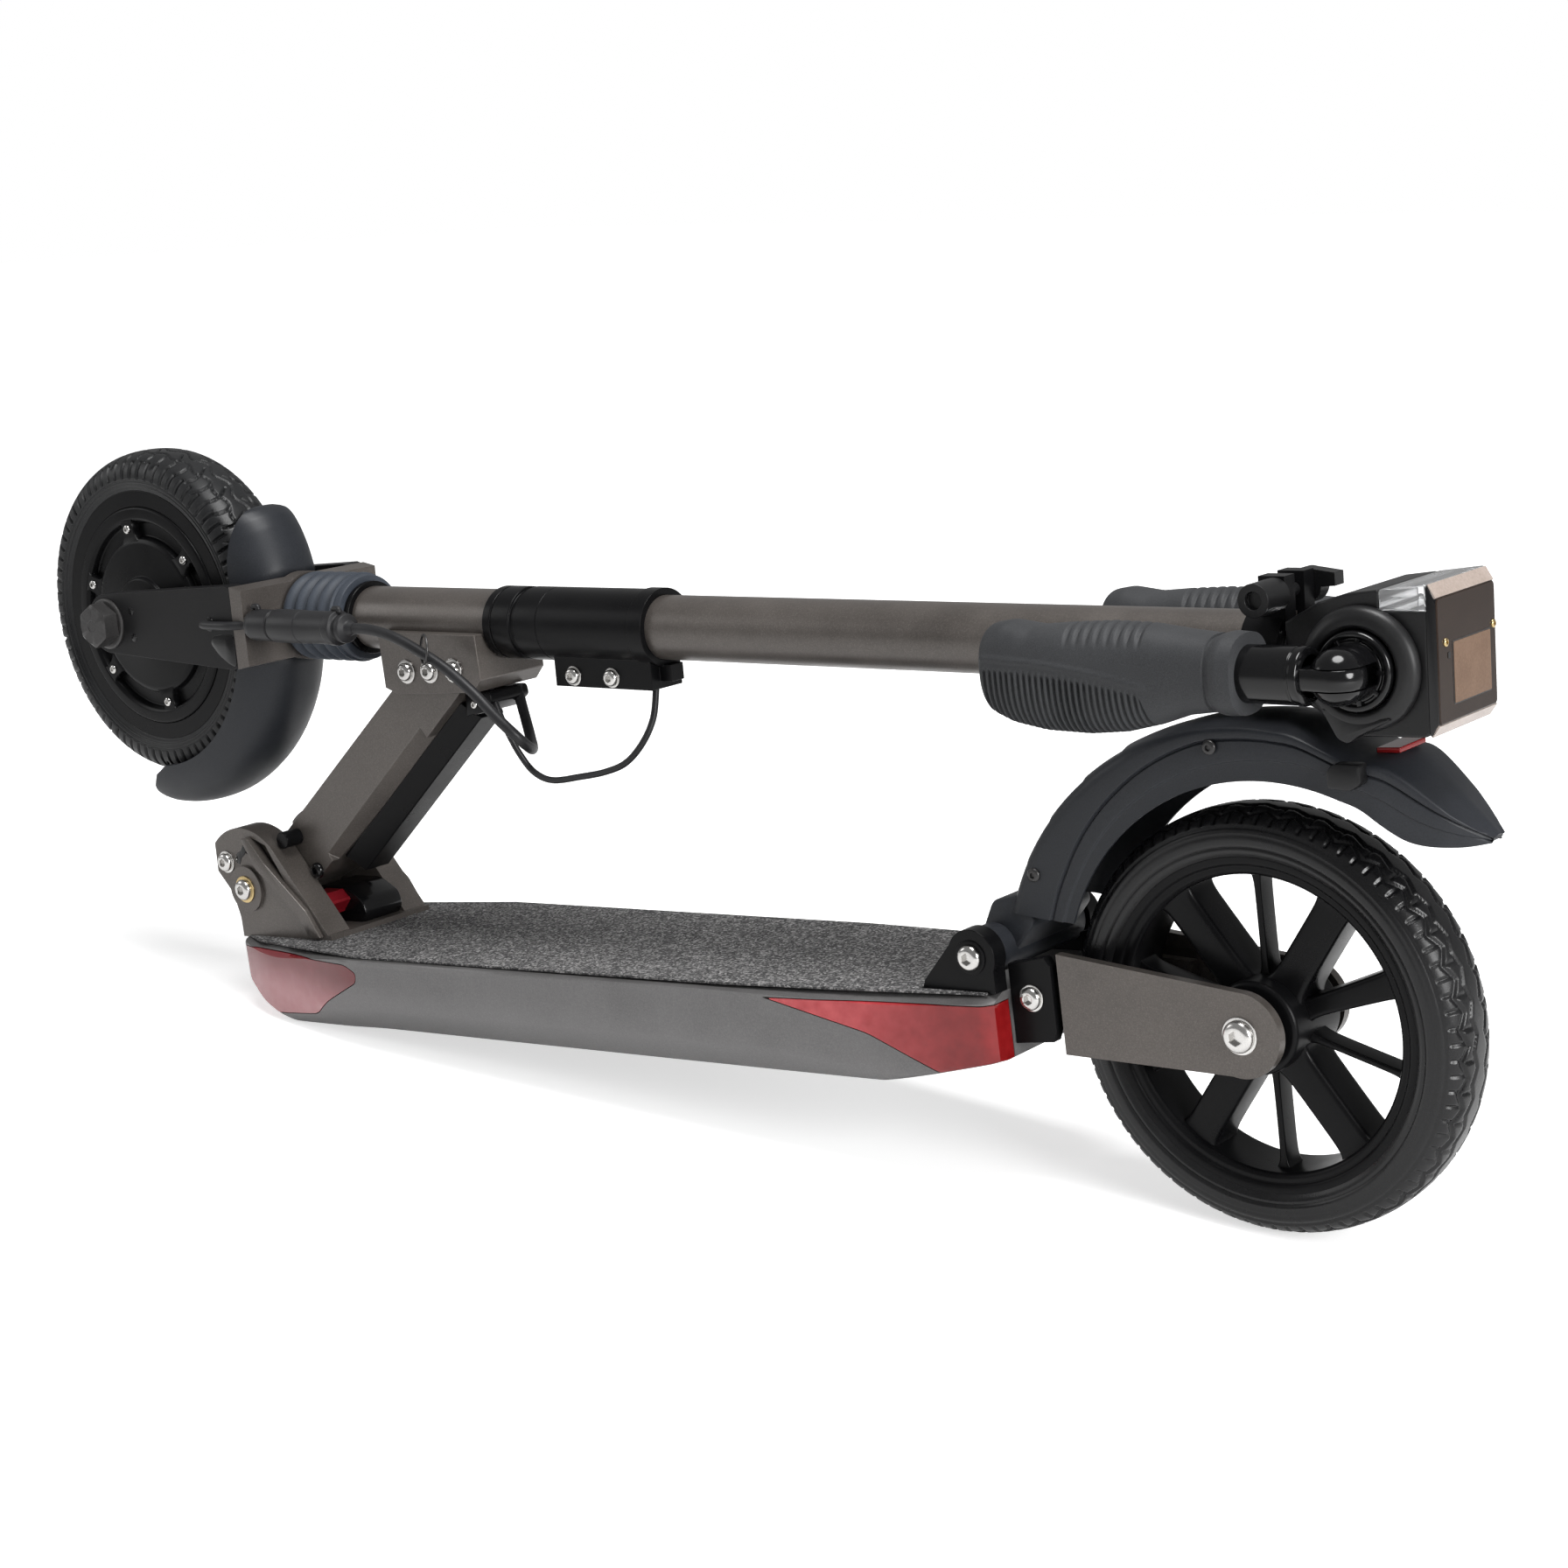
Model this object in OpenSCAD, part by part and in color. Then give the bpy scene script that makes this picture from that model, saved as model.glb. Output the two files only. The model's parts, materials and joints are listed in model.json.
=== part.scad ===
// Folding electric kick scooter, stored folded: it stands on its rear wheel and
// on the front of its deck, with the stem laid back over the deck.
// Lengths are in millimetres. Every piece is drawn in the deck frame: x runs
// from front to rear with 0 at the rear axle, -y is the scooter's left side and
// z = 0 is the deck's top face. stance() then stands the scooter on the floor.

/* [Wheels] */
// Outer diameter of both tyres
tyre_d = 200; // [194:1:204]
// Width of the rear tyre
rear_tyre_w = 40; // [34:1:41]
// Width of the front tyre
front_tyre_w = 46; // [40:1:50]
// Diameter where the rear tyre sits on its rim
rear_seat_d = 156; // [150:1:160]
// Diameter of the windows between the rear spokes
window_d = 139; // [132:1:142]
// Diameter where the front tyre sits on the motor drum
drum_d = 154; // [148:1:158]
// Diameter of the front motor's side covers
cover_d = 134; // [126:1:140]
// Diameter of the rear hub
hub_d = 44; // [38:1:46]
// Width of the rear hub
hub_w = 42; // [38:1:43]
// Number of rear spokes
spokes = 10; // [8:2:12]
// Diameter of both axles
axle_d = 12; // [10:0.5:13]

/* [Deck] */
// Length of the deck from nose to rear end
deck_len = 560; // [550:1:570]
// Greatest width of the deck
deck_w = 140; // [134:1:150]
// Depth of the deck
deck_h = 47; // [44:1:50]
// Wall thickness of the deck shell and its lenses
deck_wall = 3; // [2:0.25:3.5]
// Rear end of the deck ahead of the rear axle
deck_rear = 122; // [121:0.5:124]
// Thickness of the grip sheet
tape_t = 1; // [0.6:0.1:1.5]
// Length of the battery
battery_len = 260; // [200:5:270]
// Length of the motor controller behind the battery
controller_len = 86; // [70:1:90]

/* [Fold joint] */
// Height of the fold pivot above the deck
pivot_z = 30; // [29:0.5:31]
// Distance of the fold pivot behind the deck's nose
pivot_back = 9; // [7:0.5:11]
// Outer half-width over the two cheeks
cheek_out = 39; // [36:0.5:42]
// Half-width of the arm between the cheeks
arm_half_w = 21.5; // [19:0.5:23]
// Diameter of the fold pin
fold_pin_d = 12; // [10:0.5:14]

/* [Stem] */
// Distance of the front axle ahead of the fold pivot when folded
axle_ahead = 77; // [73:1:81]
// Height of the front axle above the deck's top when folded
stem_z = 195; // [193:0.5:198]
// Slope of the folded stem, down towards the rear, in degrees
stem_drop = 3.05; // [2.8:0.05:3.3]
// Outer diameter of the stem tube
stem_d = 34; // [33:0.25:35]
// Outer diameter of the telescopic tube and of the steering tube
inner_d = 28; // [26:0.25:29]
// Outer diameter of the head tube
head_tube_d = 36; // [35:0.25:39]
// Length of the head tube
head_tube_len = 108; // [104:1:112]
// Rear end of the stem tube behind the rear axle, measured along the folded stem
stem_past = 28; // [24:1:30]
// Radial clearance of every shaft that turns or slides
running = 0.05; // [0.03:0.01:0.08]

/* [Fork] */
// Inner half-width between the fork legs
leg_in = 40; // [37:0.5:42]
// Thickness of one fork leg
leg_t = 12; // [9:0.5:13]
// Inner radius of the front mudguard
front_guard_r = 114.5; // [112:0.5:114.5]
// Outer radius of the bellows
bellows_r = 26; // [25:0.25:27]
// Length of the bellows between its cuffs
bellows_len = 44; // [40:1:48]
// Number of bellows ribs
bellows_ribs = 4; // [3:1:6]

/* [Head and handles] */
// Length of the display head
head_len = 75; // [72:1:80]
// Half-width of the display head
head_half_w = 28; // [26:0.5:29]
// Sideways distance of each handle pivot from the middle
handle_y = 50; // [49:0.5:54]
// Outer diameter of the handle tubes
handle_d = 26; // [24:0.5:27]
// Length of one grip
grip_len = 133; // [125:1:150]
// Width of one grip
grip_w = 34; // [31:0.5:35]
// Height of one grip
grip_h = 47; // [42:0.5:48]

/* [Rear end] */
// Outer radius of the rear mudguard
guard_r = 137.5; // [136:0.5:139]
// Wall thickness of the rear mudguard
guard_t = 3; // [2:0.25:3.5]
// Half-width of the rear mudguard
guard_half_w = 27; // [25.5:0.25:27]
// Inner face of each swing arm plate from the middle
arm_in = 27.5; // [27.5:0.25:29]
// Thickness of one swing arm plate
arm_t = 5; // [4:0.25:6]
// Gap between the brake pad and the tyre
pad_gap = 13; // [13:0.5:16]

/* [Hidden] */
$fn = 72;
tyre_r = tyre_d / 2;
rear_z = -15;
deck_x1 = -deck_rear;
deck_x0 = deck_x1 - deck_len;
px = deck_x0 + pivot_back;
wheel_gap = axle_ahead - px;
cheek_in = arm_half_w + 0.5;
cheek_r = 37;
guard_px = -134;
guard_pz = 17.5;
swing_px = -110;
swing_pz = -4;
boss_h = -2;
boss_r = 17.5;
clamp_h = 26;
steer_r = inner_d / 2;
shock_r = 11;
stem_r = stem_d / 2;
tube_r = head_tube_d / 2;
tail_tip = [116, 72];
guard_mid = [4, -11.5];

// Stations along the stem, measured from the front axle.
crown_s = tyre_r + 28;
spring_s = crown_s + bellows_len;
tube_s = spring_s + 10;
top_s = tube_s + head_tube_len;
sleeve_s = top_s + 41;
stem_s0 = sleeve_s + 4;
stem_s1 = wheel_gap + stem_past;
clamp_s = stem_s1 - 1;
head_s = stem_s1 + 6;
head_end = head_s + head_len;
boss_s = head_end - 33;

// The floor line runs from the deck's front lower edge to the rear tyre.
rest_x = deck_x0 + 52;
rest_z = -deck_h;
rest_len = norm([rest_x, rear_z - rest_z]);
tilt = asin(tyre_r / rest_len) - atan2(rear_z - rest_z, -rest_x);
floor_h = tyre_r - rear_z * cos(tilt);
front_end = -wheel_gap * cos(tilt) - stem_z * sin(tilt) - tyre_r;
rear_end = tail_tip.x * cos(tilt) - tail_tip.y * sin(tilt);
mid_x = (front_end + rear_end) / 2;

arm_slope = atan2(68, 87);

// Plan of the deck's left half, front to rear: distance from the nose, half-width.
deck_side = [
    [0, deck_w / 2 - 27], [24, deck_w / 2 - 18], [127, deck_w / 2],
    [402, deck_w / 2 - 4], [492, deck_w / 2 - 11], [deck_len, deck_w / 2 - 18]
];

// Routes of the two cables from the fold pivot, as points that they really pass.
motor_route = [
    [137, -48, 185.5], [151, -47, 184.5], [167, -45, 180], [185, -43, 171],
    [203, -41, 160], [221, -40, 146], [233, -38, 133], [242, -33, 121],
    [241, -24, 113.5], [231, -12, 111], [219, -1, 115], [210, 6, 124],
    [205, 9, 134], [203, 10, 141.2]
];
signal_route = [
    [200, -8, 142.6], [206, -11, 135], [216, -15, 121], [227, -18, 108],
    [238, -20, 99], [252, -21, 95], [273, -21, 97], [293, -21, 100],
    [308, -20, 105], [318, -16, 115], [322, -10, 127], [322, -5, 140.9]
];

// Short lead of the motor plug, in the stem frame, past the side of the crown.
plug_route = [
    [94, -54.7, 2], [98, -55.7, 2], [106, -56, 2], [120, -56, 2], [130, -55, 2], [137, -50, 2]
];

// Stands the deck frame on the floor.
module stance() {
    translate([-mid_x, 0, floor_h])
        rotate([0, -tilt, 0])
            children();
}

// Stem frame: x runs along the stem from the front axle to the head.
module on_stem() {
    stance()
        translate([-wheel_gap, 0, stem_z])
            rotate([0, stem_drop, 0])
                children();
}

// Cylinder across the scooter, between two y values.
module ycyl(r, y0, y1, x = 0, z = 0) {
    translate([x, y0, z])
        rotate([-90, 0, 0])
            cylinder(r = r, h = y1 - y0);
}

// Cylinder along x, between two x values.
module xcyl(r, x0, x1, y = 0, z = 0) {
    translate([x0, y, z])
        rotate([0, 90, 0])
            cylinder(r = r, h = x1 - x0);
}

// Ring along x, between two x values.
module xring(r_out, r_in, x0, x1) {
    difference() {
        xcyl(r_out, x0, x1);
        xcyl(r_in, x0 - 1, x1 + 1);
    }
}

// Extrudes a side-view outline, drawn as (x, z), between two y values.
module side(y0, y1) {
    translate([0, y1, 0])
        rotate([90, 0, 0])
            linear_extrude(y1 - y0)
                children();
}

// Box between two corners.
module block(a, b) {
    translate(a)
        cube(b - a);
}

// Repeats a left-hand piece on the right.
module both() {
    children();
    mirror([0, 1, 0])
        children();
}

// Moves a wheel drawn about the y axis to the rear axle.
module at_rear_axle() {
    stance()
        translate([0, 0, rear_z])
            children();
}

// Turns a (radius, width) outline into a ring about the y axis.
module wheel_ring() {
    rotate([-90, 0, 0])
        rotate_extrude()
            children();
}

// Point number k of a smooth curve through a route, with m steps per stretch.
function route_point(p, i, u) =
    let (
        a = p[max(i - 1, 0)],
        b = p[i],
        c = p[i + 1],
        d = p[min(i + 2, len(p) - 1)]
    )
    0.5 * (2 * b + u * (c - a) + u * u * (2 * a - 5 * b + 4 * c - d)
        + u * u * u * (3 * b - a - 3 * c + d));

function smooth(p, m) = concat(
    [for (i = [0 : len(p) - 2]) for (k = [0 : m - 1]) route_point(p, i, k / m)],
    [p[len(p) - 1]]
);

// Round cord of radius r along a list of points; aim keeps its rings from twisting.
module cord(p, r, n, aim) {
    last = len(p) - 1;
    rings = [for (i = [0 : last])
        let (
            t = p[min(i + 1, last)] - p[max(i - 1, 0)],
            u = cross(t, aim) / norm(cross(t, aim)),
            v = cross(t, u) / norm(cross(t, u))
        )
        for (k = [0 : n - 1]) p[i] + r * (cos(360 * k / n) * u + sin(360 * k / n) * v)
    ];
    sides = [for (i = [0 : last - 1]) for (k = [0 : n - 1]) each [
        [i * n + k, (i + 1) * n + k, (i + 1) * n + (k + 1) % n],
        [i * n + k, (i + 1) * n + (k + 1) % n, i * n + (k + 1) % n]
    ]];
    ends = [
        [for (k = [0 : n - 1]) k],
        [for (k = [n - 1 : -1 : 0]) last * n + k]
    ];
    polyhedron(rings, concat(sides, ends), convexity = 6);
}

// Solid outer form of the deck, drawn in by i on every side.
module deck_form(i) {
    n = len(deck_side) - 1;
    half = [for (k = [0 : n])
        [deck_x0 + deck_side[k].x + (k == 0 ? i : k == n ? -i : 0), deck_side[k].y - i]
    ];
    w = deck_w / 2 + 2 - i;
    intersection() {
        translate([0, 0, -deck_h - 1])
            linear_extrude(deck_h + 1 - i)
                polygon(concat(half, [for (k = [n : -1 : 0]) [half[k].x, -half[k].y]]));
        translate([deck_x0 - 1, 0, 0])
            rotate([90, 0, 90])
                linear_extrude(deck_len + 2)
                    polygon([
                        [-w, 0], [-w, -15], [-w + 8, -31], [-w + 20, i - deck_h],
                        [w - 20, i - deck_h], [w - 8, -31], [w, -15], [w, 0]
                    ]);
        side(-deck_w, deck_w)
            polygon([
                [deck_x0 + i, 0], [deck_x0 + i, -12], [deck_x0 + 5 + i, -24],
                [deck_x0 + 22 + i, -36], [deck_x0 + 40 + i, -43 + i / 2],
                [rest_x + i, rest_z + i], [deck_x1 - 68, rest_z + i],
                [deck_x1 - i, -33 + i], [deck_x1 - i, 0]
            ]);
    }
}

// Outline of the front lens in side view.
module front_window() {
    x = deck_x0;
    polygon([
        [x - 9, -3], [x + 121, -3.5], [x + 131, -8], [x + 130, -14],
        [x + 97, -28], [x + 80, -38], [x + 42, -41], [x - 9, -41]
    ]);
}

// Outline of one rear lens in side view.
module rear_window() {
    x = deck_x1;
    polygon([[x - 132, -4], [x + 4, -4], [x + 4, -41], [x - 26, -41], [x - 70, -20]]);
}

module front_lens_form() {
    difference() {
        intersection() {
            deck_form(0);
            side(-deck_w, deck_w)
                front_window();
        }
        deck_form(deck_wall);
    }
}

module rear_lens_form() {
    both()
        difference() {
            intersection() {
                deck_form(0);
                side(-deck_w, -36)
                    rear_window();
            }
            deck_form(deck_wall);
        }
}

module deck_shell() {
    color([0.34, 0.31, 0.29])
        stance()
            difference() {
                deck_form(0);
                intersection() {
                    deck_form(deck_wall);
                    block([deck_x0 + 12, -deck_w, -deck_h], [deck_x1 - 26, deck_w, 0]);
                }
                block([deck_x0 + 82, -42, -deck_h - 1], [deck_x1 - 96, 42, -deck_h + 6]);
                front_lens_form();
                rear_lens_form();
            }
}

module front_lens() {
    color([0.62, 0.05, 0.07])
        stance()
            front_lens_form();
}

module rear_lenses() {
    color([0.62, 0.05, 0.07])
        stance()
            rear_lens_form();
}

module bottom_cover() {
    color([0.1, 0.1, 0.11])
        stance()
            block([deck_x0 + 82, -42, -deck_h], [deck_x1 - 96, 42, -deck_h + deck_wall]);
}

module battery_pack() {
    color([0.15, 0.2, 0.35])
        stance()
            block(
                [deck_x0 + 92, -38, -deck_h + deck_wall],
                [deck_x0 + 92 + battery_len, 38, -9]
            );
}

module controller() {
    color([0.55, 0.56, 0.58])
        stance()
            block(
                [deck_x0 + 102 + battery_len, -34, -deck_h + deck_wall],
                [deck_x0 + 102 + battery_len + controller_len, 34, -20]
            );
}

module grip_tape() {
    n = len(deck_side) - 1;
    half = [for (k = [0 : n])
        [deck_x0 + deck_side[k].x + (k == 0 ? 4 : k == n ? -4 : 0), deck_side[k].y - 4]
    ];
    color([0.09, 0.09, 0.1])
        stance()
            difference() {
                linear_extrude(tape_t)
                    polygon(concat(half, [for (k = [n : -1 : 0]) [half[k].x, -half[k].y]]));
                block([px - 30, -cheek_out, -1], [px + 70, cheek_out, 9]);
                block([guard_px - 32, -46.5, -1], [deck_x1 + 1, 46.5, 9]);
            }
}

// Side outline of one hinge cheek: a round top about the pivot on a sloped foot.
module cheek_outline() {
    intersection() {
        union() {
            translate([px, pivot_z])
                circle(r = cheek_r);
            polygon([
                [px - 14, 0], [px + 70, 0], [px + 29.2, 52.6], [px, pivot_z + 20],
                [px - 26, pivot_z]
            ]);
        }
        polygon([
            [px - 11, 0], [px + 72, 0], [px + 72, 80], [px - 16, 80], [px - 25, 58],
            [px - 26, 40], [px - 15, 27], [px - 11, 12]
        ]);
    }
}

module hinge_bracket() {
    color([0.36, 0.33, 0.3])
        stance() {
            difference() {
                union() {
                    block([px - 11, -cheek_out, 0], [px + 70, cheek_out, 4]);
                    both()
                        difference() {
                            side(-cheek_out, -cheek_in)
                                cheek_outline();
                            side(-cheek_out - 1, -cheek_out + 4)
                                polygon([
                                    [px + 2, 52], [px + 17, 47], [px + 46, 14],
                                    [px + 36, 34], [px + 22, 57], [px + 8, 62]
                                ]);
                        }
                    both()
                        ycyl(14, -cheek_out - 2, -cheek_out, px, pivot_z);
                    ycyl(2.5, -cheek_in, cheek_in, px + 32, 11);
                    block([px + 26, -6, 3], [px + 48, cheek_in, 24]);
                }
                ycyl(fold_pin_d / 2, -cheek_out - 3, cheek_out + 3, px, pivot_z);
            }
        }
}

// Fold pin with a head each side, and the cheek bolts.
module fold_bolts() {
    y = cheek_out + 2;
    color([0.75, 0.75, 0.76])
        stance() {
            ycyl(fold_pin_d / 2, -y, y, px, pivot_z);
            both()
                ycyl(7.5, -y - 4, -y, px, pivot_z);
            both()
                ycyl(5.5, -cheek_out - 4, -cheek_out, px - 16, pivot_z + 16);
        }
}

// Foot release of the fold lock: a ribbed tread on the cheeks' cross pin.
module lock_pedal() {
    qx = px + 32;
    color([0.5, 0.04, 0.06])
        stance()
            difference() {
                union() {
                    ycyl(5.5, -cheek_in + 0.6, -7, qx, 11);
                    side(-cheek_in + 0.6, -7)
                        polygon([
                            [qx - 5, 12], [qx + 2, 24], [qx + 16, 24], [qx + 22, 18],
                            [qx + 14, 10], [qx, 6]
                        ]);
                    for (k = [0 : 3])
                        side(-cheek_in + 0.6, -7)
                            translate([qx + 14 + 2 * k, 11.5 + 2.3 * k])
                                circle(r = 1.4);
                }
                ycyl(2.5 + running, -cheek_in, cheek_in, qx, 11);
            }
}

// Arm from the fold pin up to a flange that carries the head tube. The long edges
// of its lower side are cut off at 45 degrees.
module arm() {
    w = arm_half_w;
    color([0.36, 0.33, 0.3])
        stance()
            difference() {
                union() {
                    ycyl(16, -w, w, px, pivot_z);
                    side(-w, w)
                        polygon([
                            [px - 8, pivot_z + 9], [px + 24, pivot_z + 33.2],
                            [px + 136, stem_z - 47.8], [px + 194, stem_z - 48],
                            [px + 107, stem_z - 116], [px + 51, pivot_z + 8],
                            [px + 16, pivot_z - 6]
                        ]);
                    side(-25, 25)
                        polygon([
                            [px + 133, stem_z - 47], [px + 143, stem_z - 51],
                            [px + 204, stem_z - 51], [px + 211, stem_z - 44],
                            [px + 211, stem_z - 19], [px + 133, stem_z - 15]
                        ]);
                }
                ycyl(fold_pin_d / 2 + running, -w - 1, w + 1, px, pivot_z);
                both()
                    translate([px + 107, -w, stem_z - 116])
                        rotate([0, -arm_slope, 0])
                            rotate([45, 0, 0])
                                block([-58, -5.5, -5.5], [64, 5.5, 5.5]);
                translate([-wheel_gap, 0, stem_z])
                    rotate([0, stem_drop, 0])
                        xcyl(tube_r + running, tube_s - 30, top_s + 30);
            }
}

// Dark cable cover under the arm, and the lock stud's two ends at its sides.
module arm_trim() {
    w = arm_half_w - 7;
    color([0.07, 0.07, 0.08])
        stance() {
            translate([px + 107, 0, stem_z - 116])
                rotate([0, -arm_slope, 0])
                    translate([-54, 0, 0])
                        rotate([90, 0, 90])
                            linear_extrude(148)
                                polygon([
                                    [-w, -0.05], [-w + 7, -12.5], [w - 4, -12.5], [w, -0.05]
                                ]);
            both()
                ycyl(5, -34, -arm_half_w, px + 32, pivot_z + 29);
        }
}

module flange_bolts() {
    color([0.75, 0.75, 0.76])
        stance()
            both()
                for (k = [0 : 2])
                    ycyl(5, -28.5, -25, px + 153 + 19 * k, stem_z - 38);
}

module head_tube() {
    color([0.36, 0.33, 0.3])
        on_stem()
            xring(tube_r, steer_r + running, tube_s, top_s);
}

module headset_cups() {
    color([0.16, 0.16, 0.17])
        on_stem() {
            xring(tube_r + 3, steer_r + 0.4, tube_s - 3.5, tube_s);
            xring(tube_r + 2, steer_r + 0.4, top_s, top_s + 6);
        }
}

module motor_cable() {
    color([0.06, 0.06, 0.07])
        stance()
            translate([px, 0, 0])
                cord(smooth(motor_route, 4), 3, 10, [0, 1, 0.2]);
}

module signal_cable() {
    color([0.06, 0.06, 0.07])
        stance()
            translate([px, 0, 0])
                cord(smooth(signal_route, 4), 1.8, 8, [0, 1, 0.2]);
}

module steerer() {
    color([0.5, 0.5, 0.52])
        on_stem()
            difference() {
                union() {
                    xcyl(steer_r, spring_s, stem_s0 + 10);
                    xcyl(20, spring_s, spring_s + 6);
                    xcyl(tube_r + 2, top_s + 6.5, top_s + 20);
                    xcyl(tube_r + 0.5, top_s + 20, top_s + 24);
                    xcyl(tube_r + 2, top_s + 24, sleeve_s);
                }
                xcyl(shock_r + running, spring_s - 1, stem_s0 + 11);
            }
}

module stem_sleeve() {
    color([0.06, 0.06, 0.07])
        on_stem()
            difference() {
                union() {
                    xcyl(stem_r + 3, sleeve_s, sleeve_s + 67);
                    xcyl(stem_r + 3.8, sleeve_s + 67, sleeve_s + 77);
                    block([sleeve_s + 4, -12, -32], [sleeve_s + 74, 12, -10]);
                    block([sleeve_s + 73, -5, -28], [sleeve_s + 82, 5, -19]);
                }
                xcyl(stem_r, stem_s0, sleeve_s + 90);
                xcyl(steer_r, sleeve_s - 1, stem_s0 + 1);
            }
}

module sleeve_bolts() {
    color([0.75, 0.75, 0.76])
        on_stem()
            both()
                for (s = [18, 46])
                    ycyl(4.5, -15, -12, sleeve_s + s, -26);
}

module stem_tube() {
    color([0.36, 0.33, 0.3])
        on_stem()
            xring(stem_r, steer_r + running, stem_s0, stem_s1);
}

module height_clamp() {
    color([0.06, 0.06, 0.07])
        on_stem()
            difference() {
                union() {
                    xcyl(stem_r + 3.5, stem_s1 - 16, stem_s1 + 2.5);
                    both()
                        block([stem_s1 - 9, -13, 10], [stem_s1 + 4, -4, 34]);
                }
                xcyl(stem_r, stem_s1 - 17, stem_s1);
                xcyl(steer_r + 0.4, stem_s1 - 1, stem_s1 + 7);
                block([stem_s1 - 18, -4, 12], [stem_s1 + 8, 4, 40]);
                ycyl(3, -14, 14, clamp_s, clamp_h);
            }
}

// Clamp screw with its hand nut on the left.
module clamp_knob() {
    color([0.08, 0.08, 0.09])
        on_stem() {
            ycyl(3, -13, 13, clamp_s, clamp_h);
            difference() {
                ycyl(7.5, -32, -13, clamp_s, clamp_h);
                ycyl(4, -33, -29, clamp_s, clamp_h);
            }
            ycyl(2.5, 13, 22, clamp_s, clamp_h);
        }
}

// Cam lever of the height clamp, on the right.
module clamp_lever() {
    color([0.08, 0.08, 0.09])
        on_stem()
            difference() {
                union() {
                    ycyl(8, 13.4, 21.6, clamp_s, clamp_h);
                    side(13.4, 21.6)
                        polygon([
                            [clamp_s, clamp_h - 1], [clamp_s + 15, clamp_h],
                            [clamp_s + 15, clamp_h + 6], [clamp_s, clamp_h + 8]
                        ]);
                }
                ycyl(2.5 + running, 12, 23, clamp_s, clamp_h);
            }
}

// Rubber bellows over the front spring: ribs between two plain cuffs.
module bellows() {
    s0 = crown_s;
    s1 = spring_s;
    p = (s1 - s0 - 4) / bellows_ribs;
    r = bellows_r;
    outer = concat(
        [[r - 1, s0], [r - 1, s0 + 2]],
        [for (k = [0 : bellows_ribs - 1]) each [
            [r - 4, s0 + 2 + p * (k + 0.08)], [r - 4, s0 + 2 + p * (k + 0.2)],
            [r, s0 + 2 + p * (k + 0.38)], [r, s0 + 2 + p * (k + 0.8)],
            [r - 4, s0 + 2 + p * (k + 0.98)]
        ]],
        [[r - 2, s1], [r - 2, s1 + 6], [20, s1 + 6], [20, s1 - 1]]
    );
    inner = concat(
        [for (k = [bellows_ribs - 1 : -1 : 0]) each [
            [r - 3, s0 + 2 + p * (k + 0.74)], [r - 3, s0 + 2 + p * (k + 0.44)],
            [r - 6, s0 + 2 + p * (k + 0.1)]
        ]],
        [[r - 6, s0]]
    );
    color([0.13, 0.14, 0.16])
        on_stem()
            rotate([0, 90, 0])
                rotate_extrude()
                    polygon(concat(outer, inner));
}

// Coil spring of the front suspension, round the fork's shaft.
module fork_spring() {
    turns = 5;
    n = turns * 12;
    color([0.5, 0.5, 0.52])
        on_stem()
            cord(
                [for (i = [0 : n])
                    [crown_s + 2 + (bellows_len - 4) * i / n,
                        15 * cos(360 * turns * i / n), 15 * sin(360 * turns * i / n)]
                ],
                2, 6, [1, 0, 0]
            );
}

// Crown casting, a plate with two side arms, and the shaft that slides inside the
// steering tube.
module fork_crown() {
    s = crown_s;
    w = leg_in + leg_t;
    color([0.36, 0.33, 0.3])
        on_stem() {
            xcyl(shock_r, s - 1, s + 89);
            xcyl(bellows_r, s - 10, s);
            side(-w, w)
                polygon([[s - 10, -24], [s, -22], [s, 22], [s - 10, 24]]);
        }
}

// Dark fork legs, narrowing to the axle.
module fork_legs() {
    s = crown_s - 10;
    color([0.12, 0.13, 0.15])
        on_stem()
            both()
                difference() {
                    side(-leg_in - leg_t, -leg_in) {
                        circle(r = 18);
                        polygon([[0, -18], [s - 5, -24.5], [s, -23], [s, 23], [s - 5, 24.5], [0, 18]]);
                    }
                    ycyl(axle_d / 2, -leg_in - leg_t - 1, 0);
                }
}

// Front mudguard: a round-backed shell over the tyre, between the legs, thickened
// above and below the crown, with a pad that bears on the crown.
module front_mudguard() {
    r = front_guard_r;
    half = [[r - 22, 29.2], [r - 15, 28], [r - 8, 24], [r - 2.5, 17], [r + 2, 8]];
    inner = [[r - 0.8, 7.5], [r - 4.8, 15.2], [r - 10, 21.6], [r - 16, 25.4], [r - 22, 26.8]];
    color([0.12, 0.13, 0.15])
        on_stem() {
            rotate([-90, 0, 0])
                rotate([0, 0, -33])
                    rotate_extrude(angle = 131)
                        polygon(concat(
                            half,
                            [for (k = [4 : -1 : 0]) [half[k].x, -half[k].y]],
                            [for (k = [4 : -1 : 0]) [inner[k].x, -inner[k].y]],
                            inner
                        ));
            side(-10, 10)
                difference() {
                    polygon([
                        [98, 62], [104, 58], [112, 44], [117, 30], [118, 27.5], [106, 27.5]
                    ]);
                    circle(r = r);
                }
            side(-10, 10)
                difference() {
                    polygon([
                        [106, -27.5], [117.5, -27.5], [114, -38], [106, -54], [97, -66], [90, -74]
                    ]);
                    circle(r = r);
                }
            block([r + 0.5, -10, -12], [crown_s - 10, 10, 12]);
        }
}

// Front axle with a nut at each end.
module front_axle() {
    y = leg_in + leg_t;
    color([0.35, 0.35, 0.36])
        on_stem() {
            ycyl(axle_d / 2, -y - 9, y + 9);
            both()
                difference() {
                    translate([0, -y - 12, 0])
                        rotate([-90, 0, 0])
                            cylinder(r = 13.5, h = 12, $fn = 6);
                    ycyl(axle_d / 2, -y - 9, -y + 1);
                }
        }
}

module motor_stator() {
    color([0.55, 0.33, 0.15])
        on_stem()
            difference() {
                ycyl(54, -12, 12);
                ycyl(axle_d / 2, -13, 13);
            }
}

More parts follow.
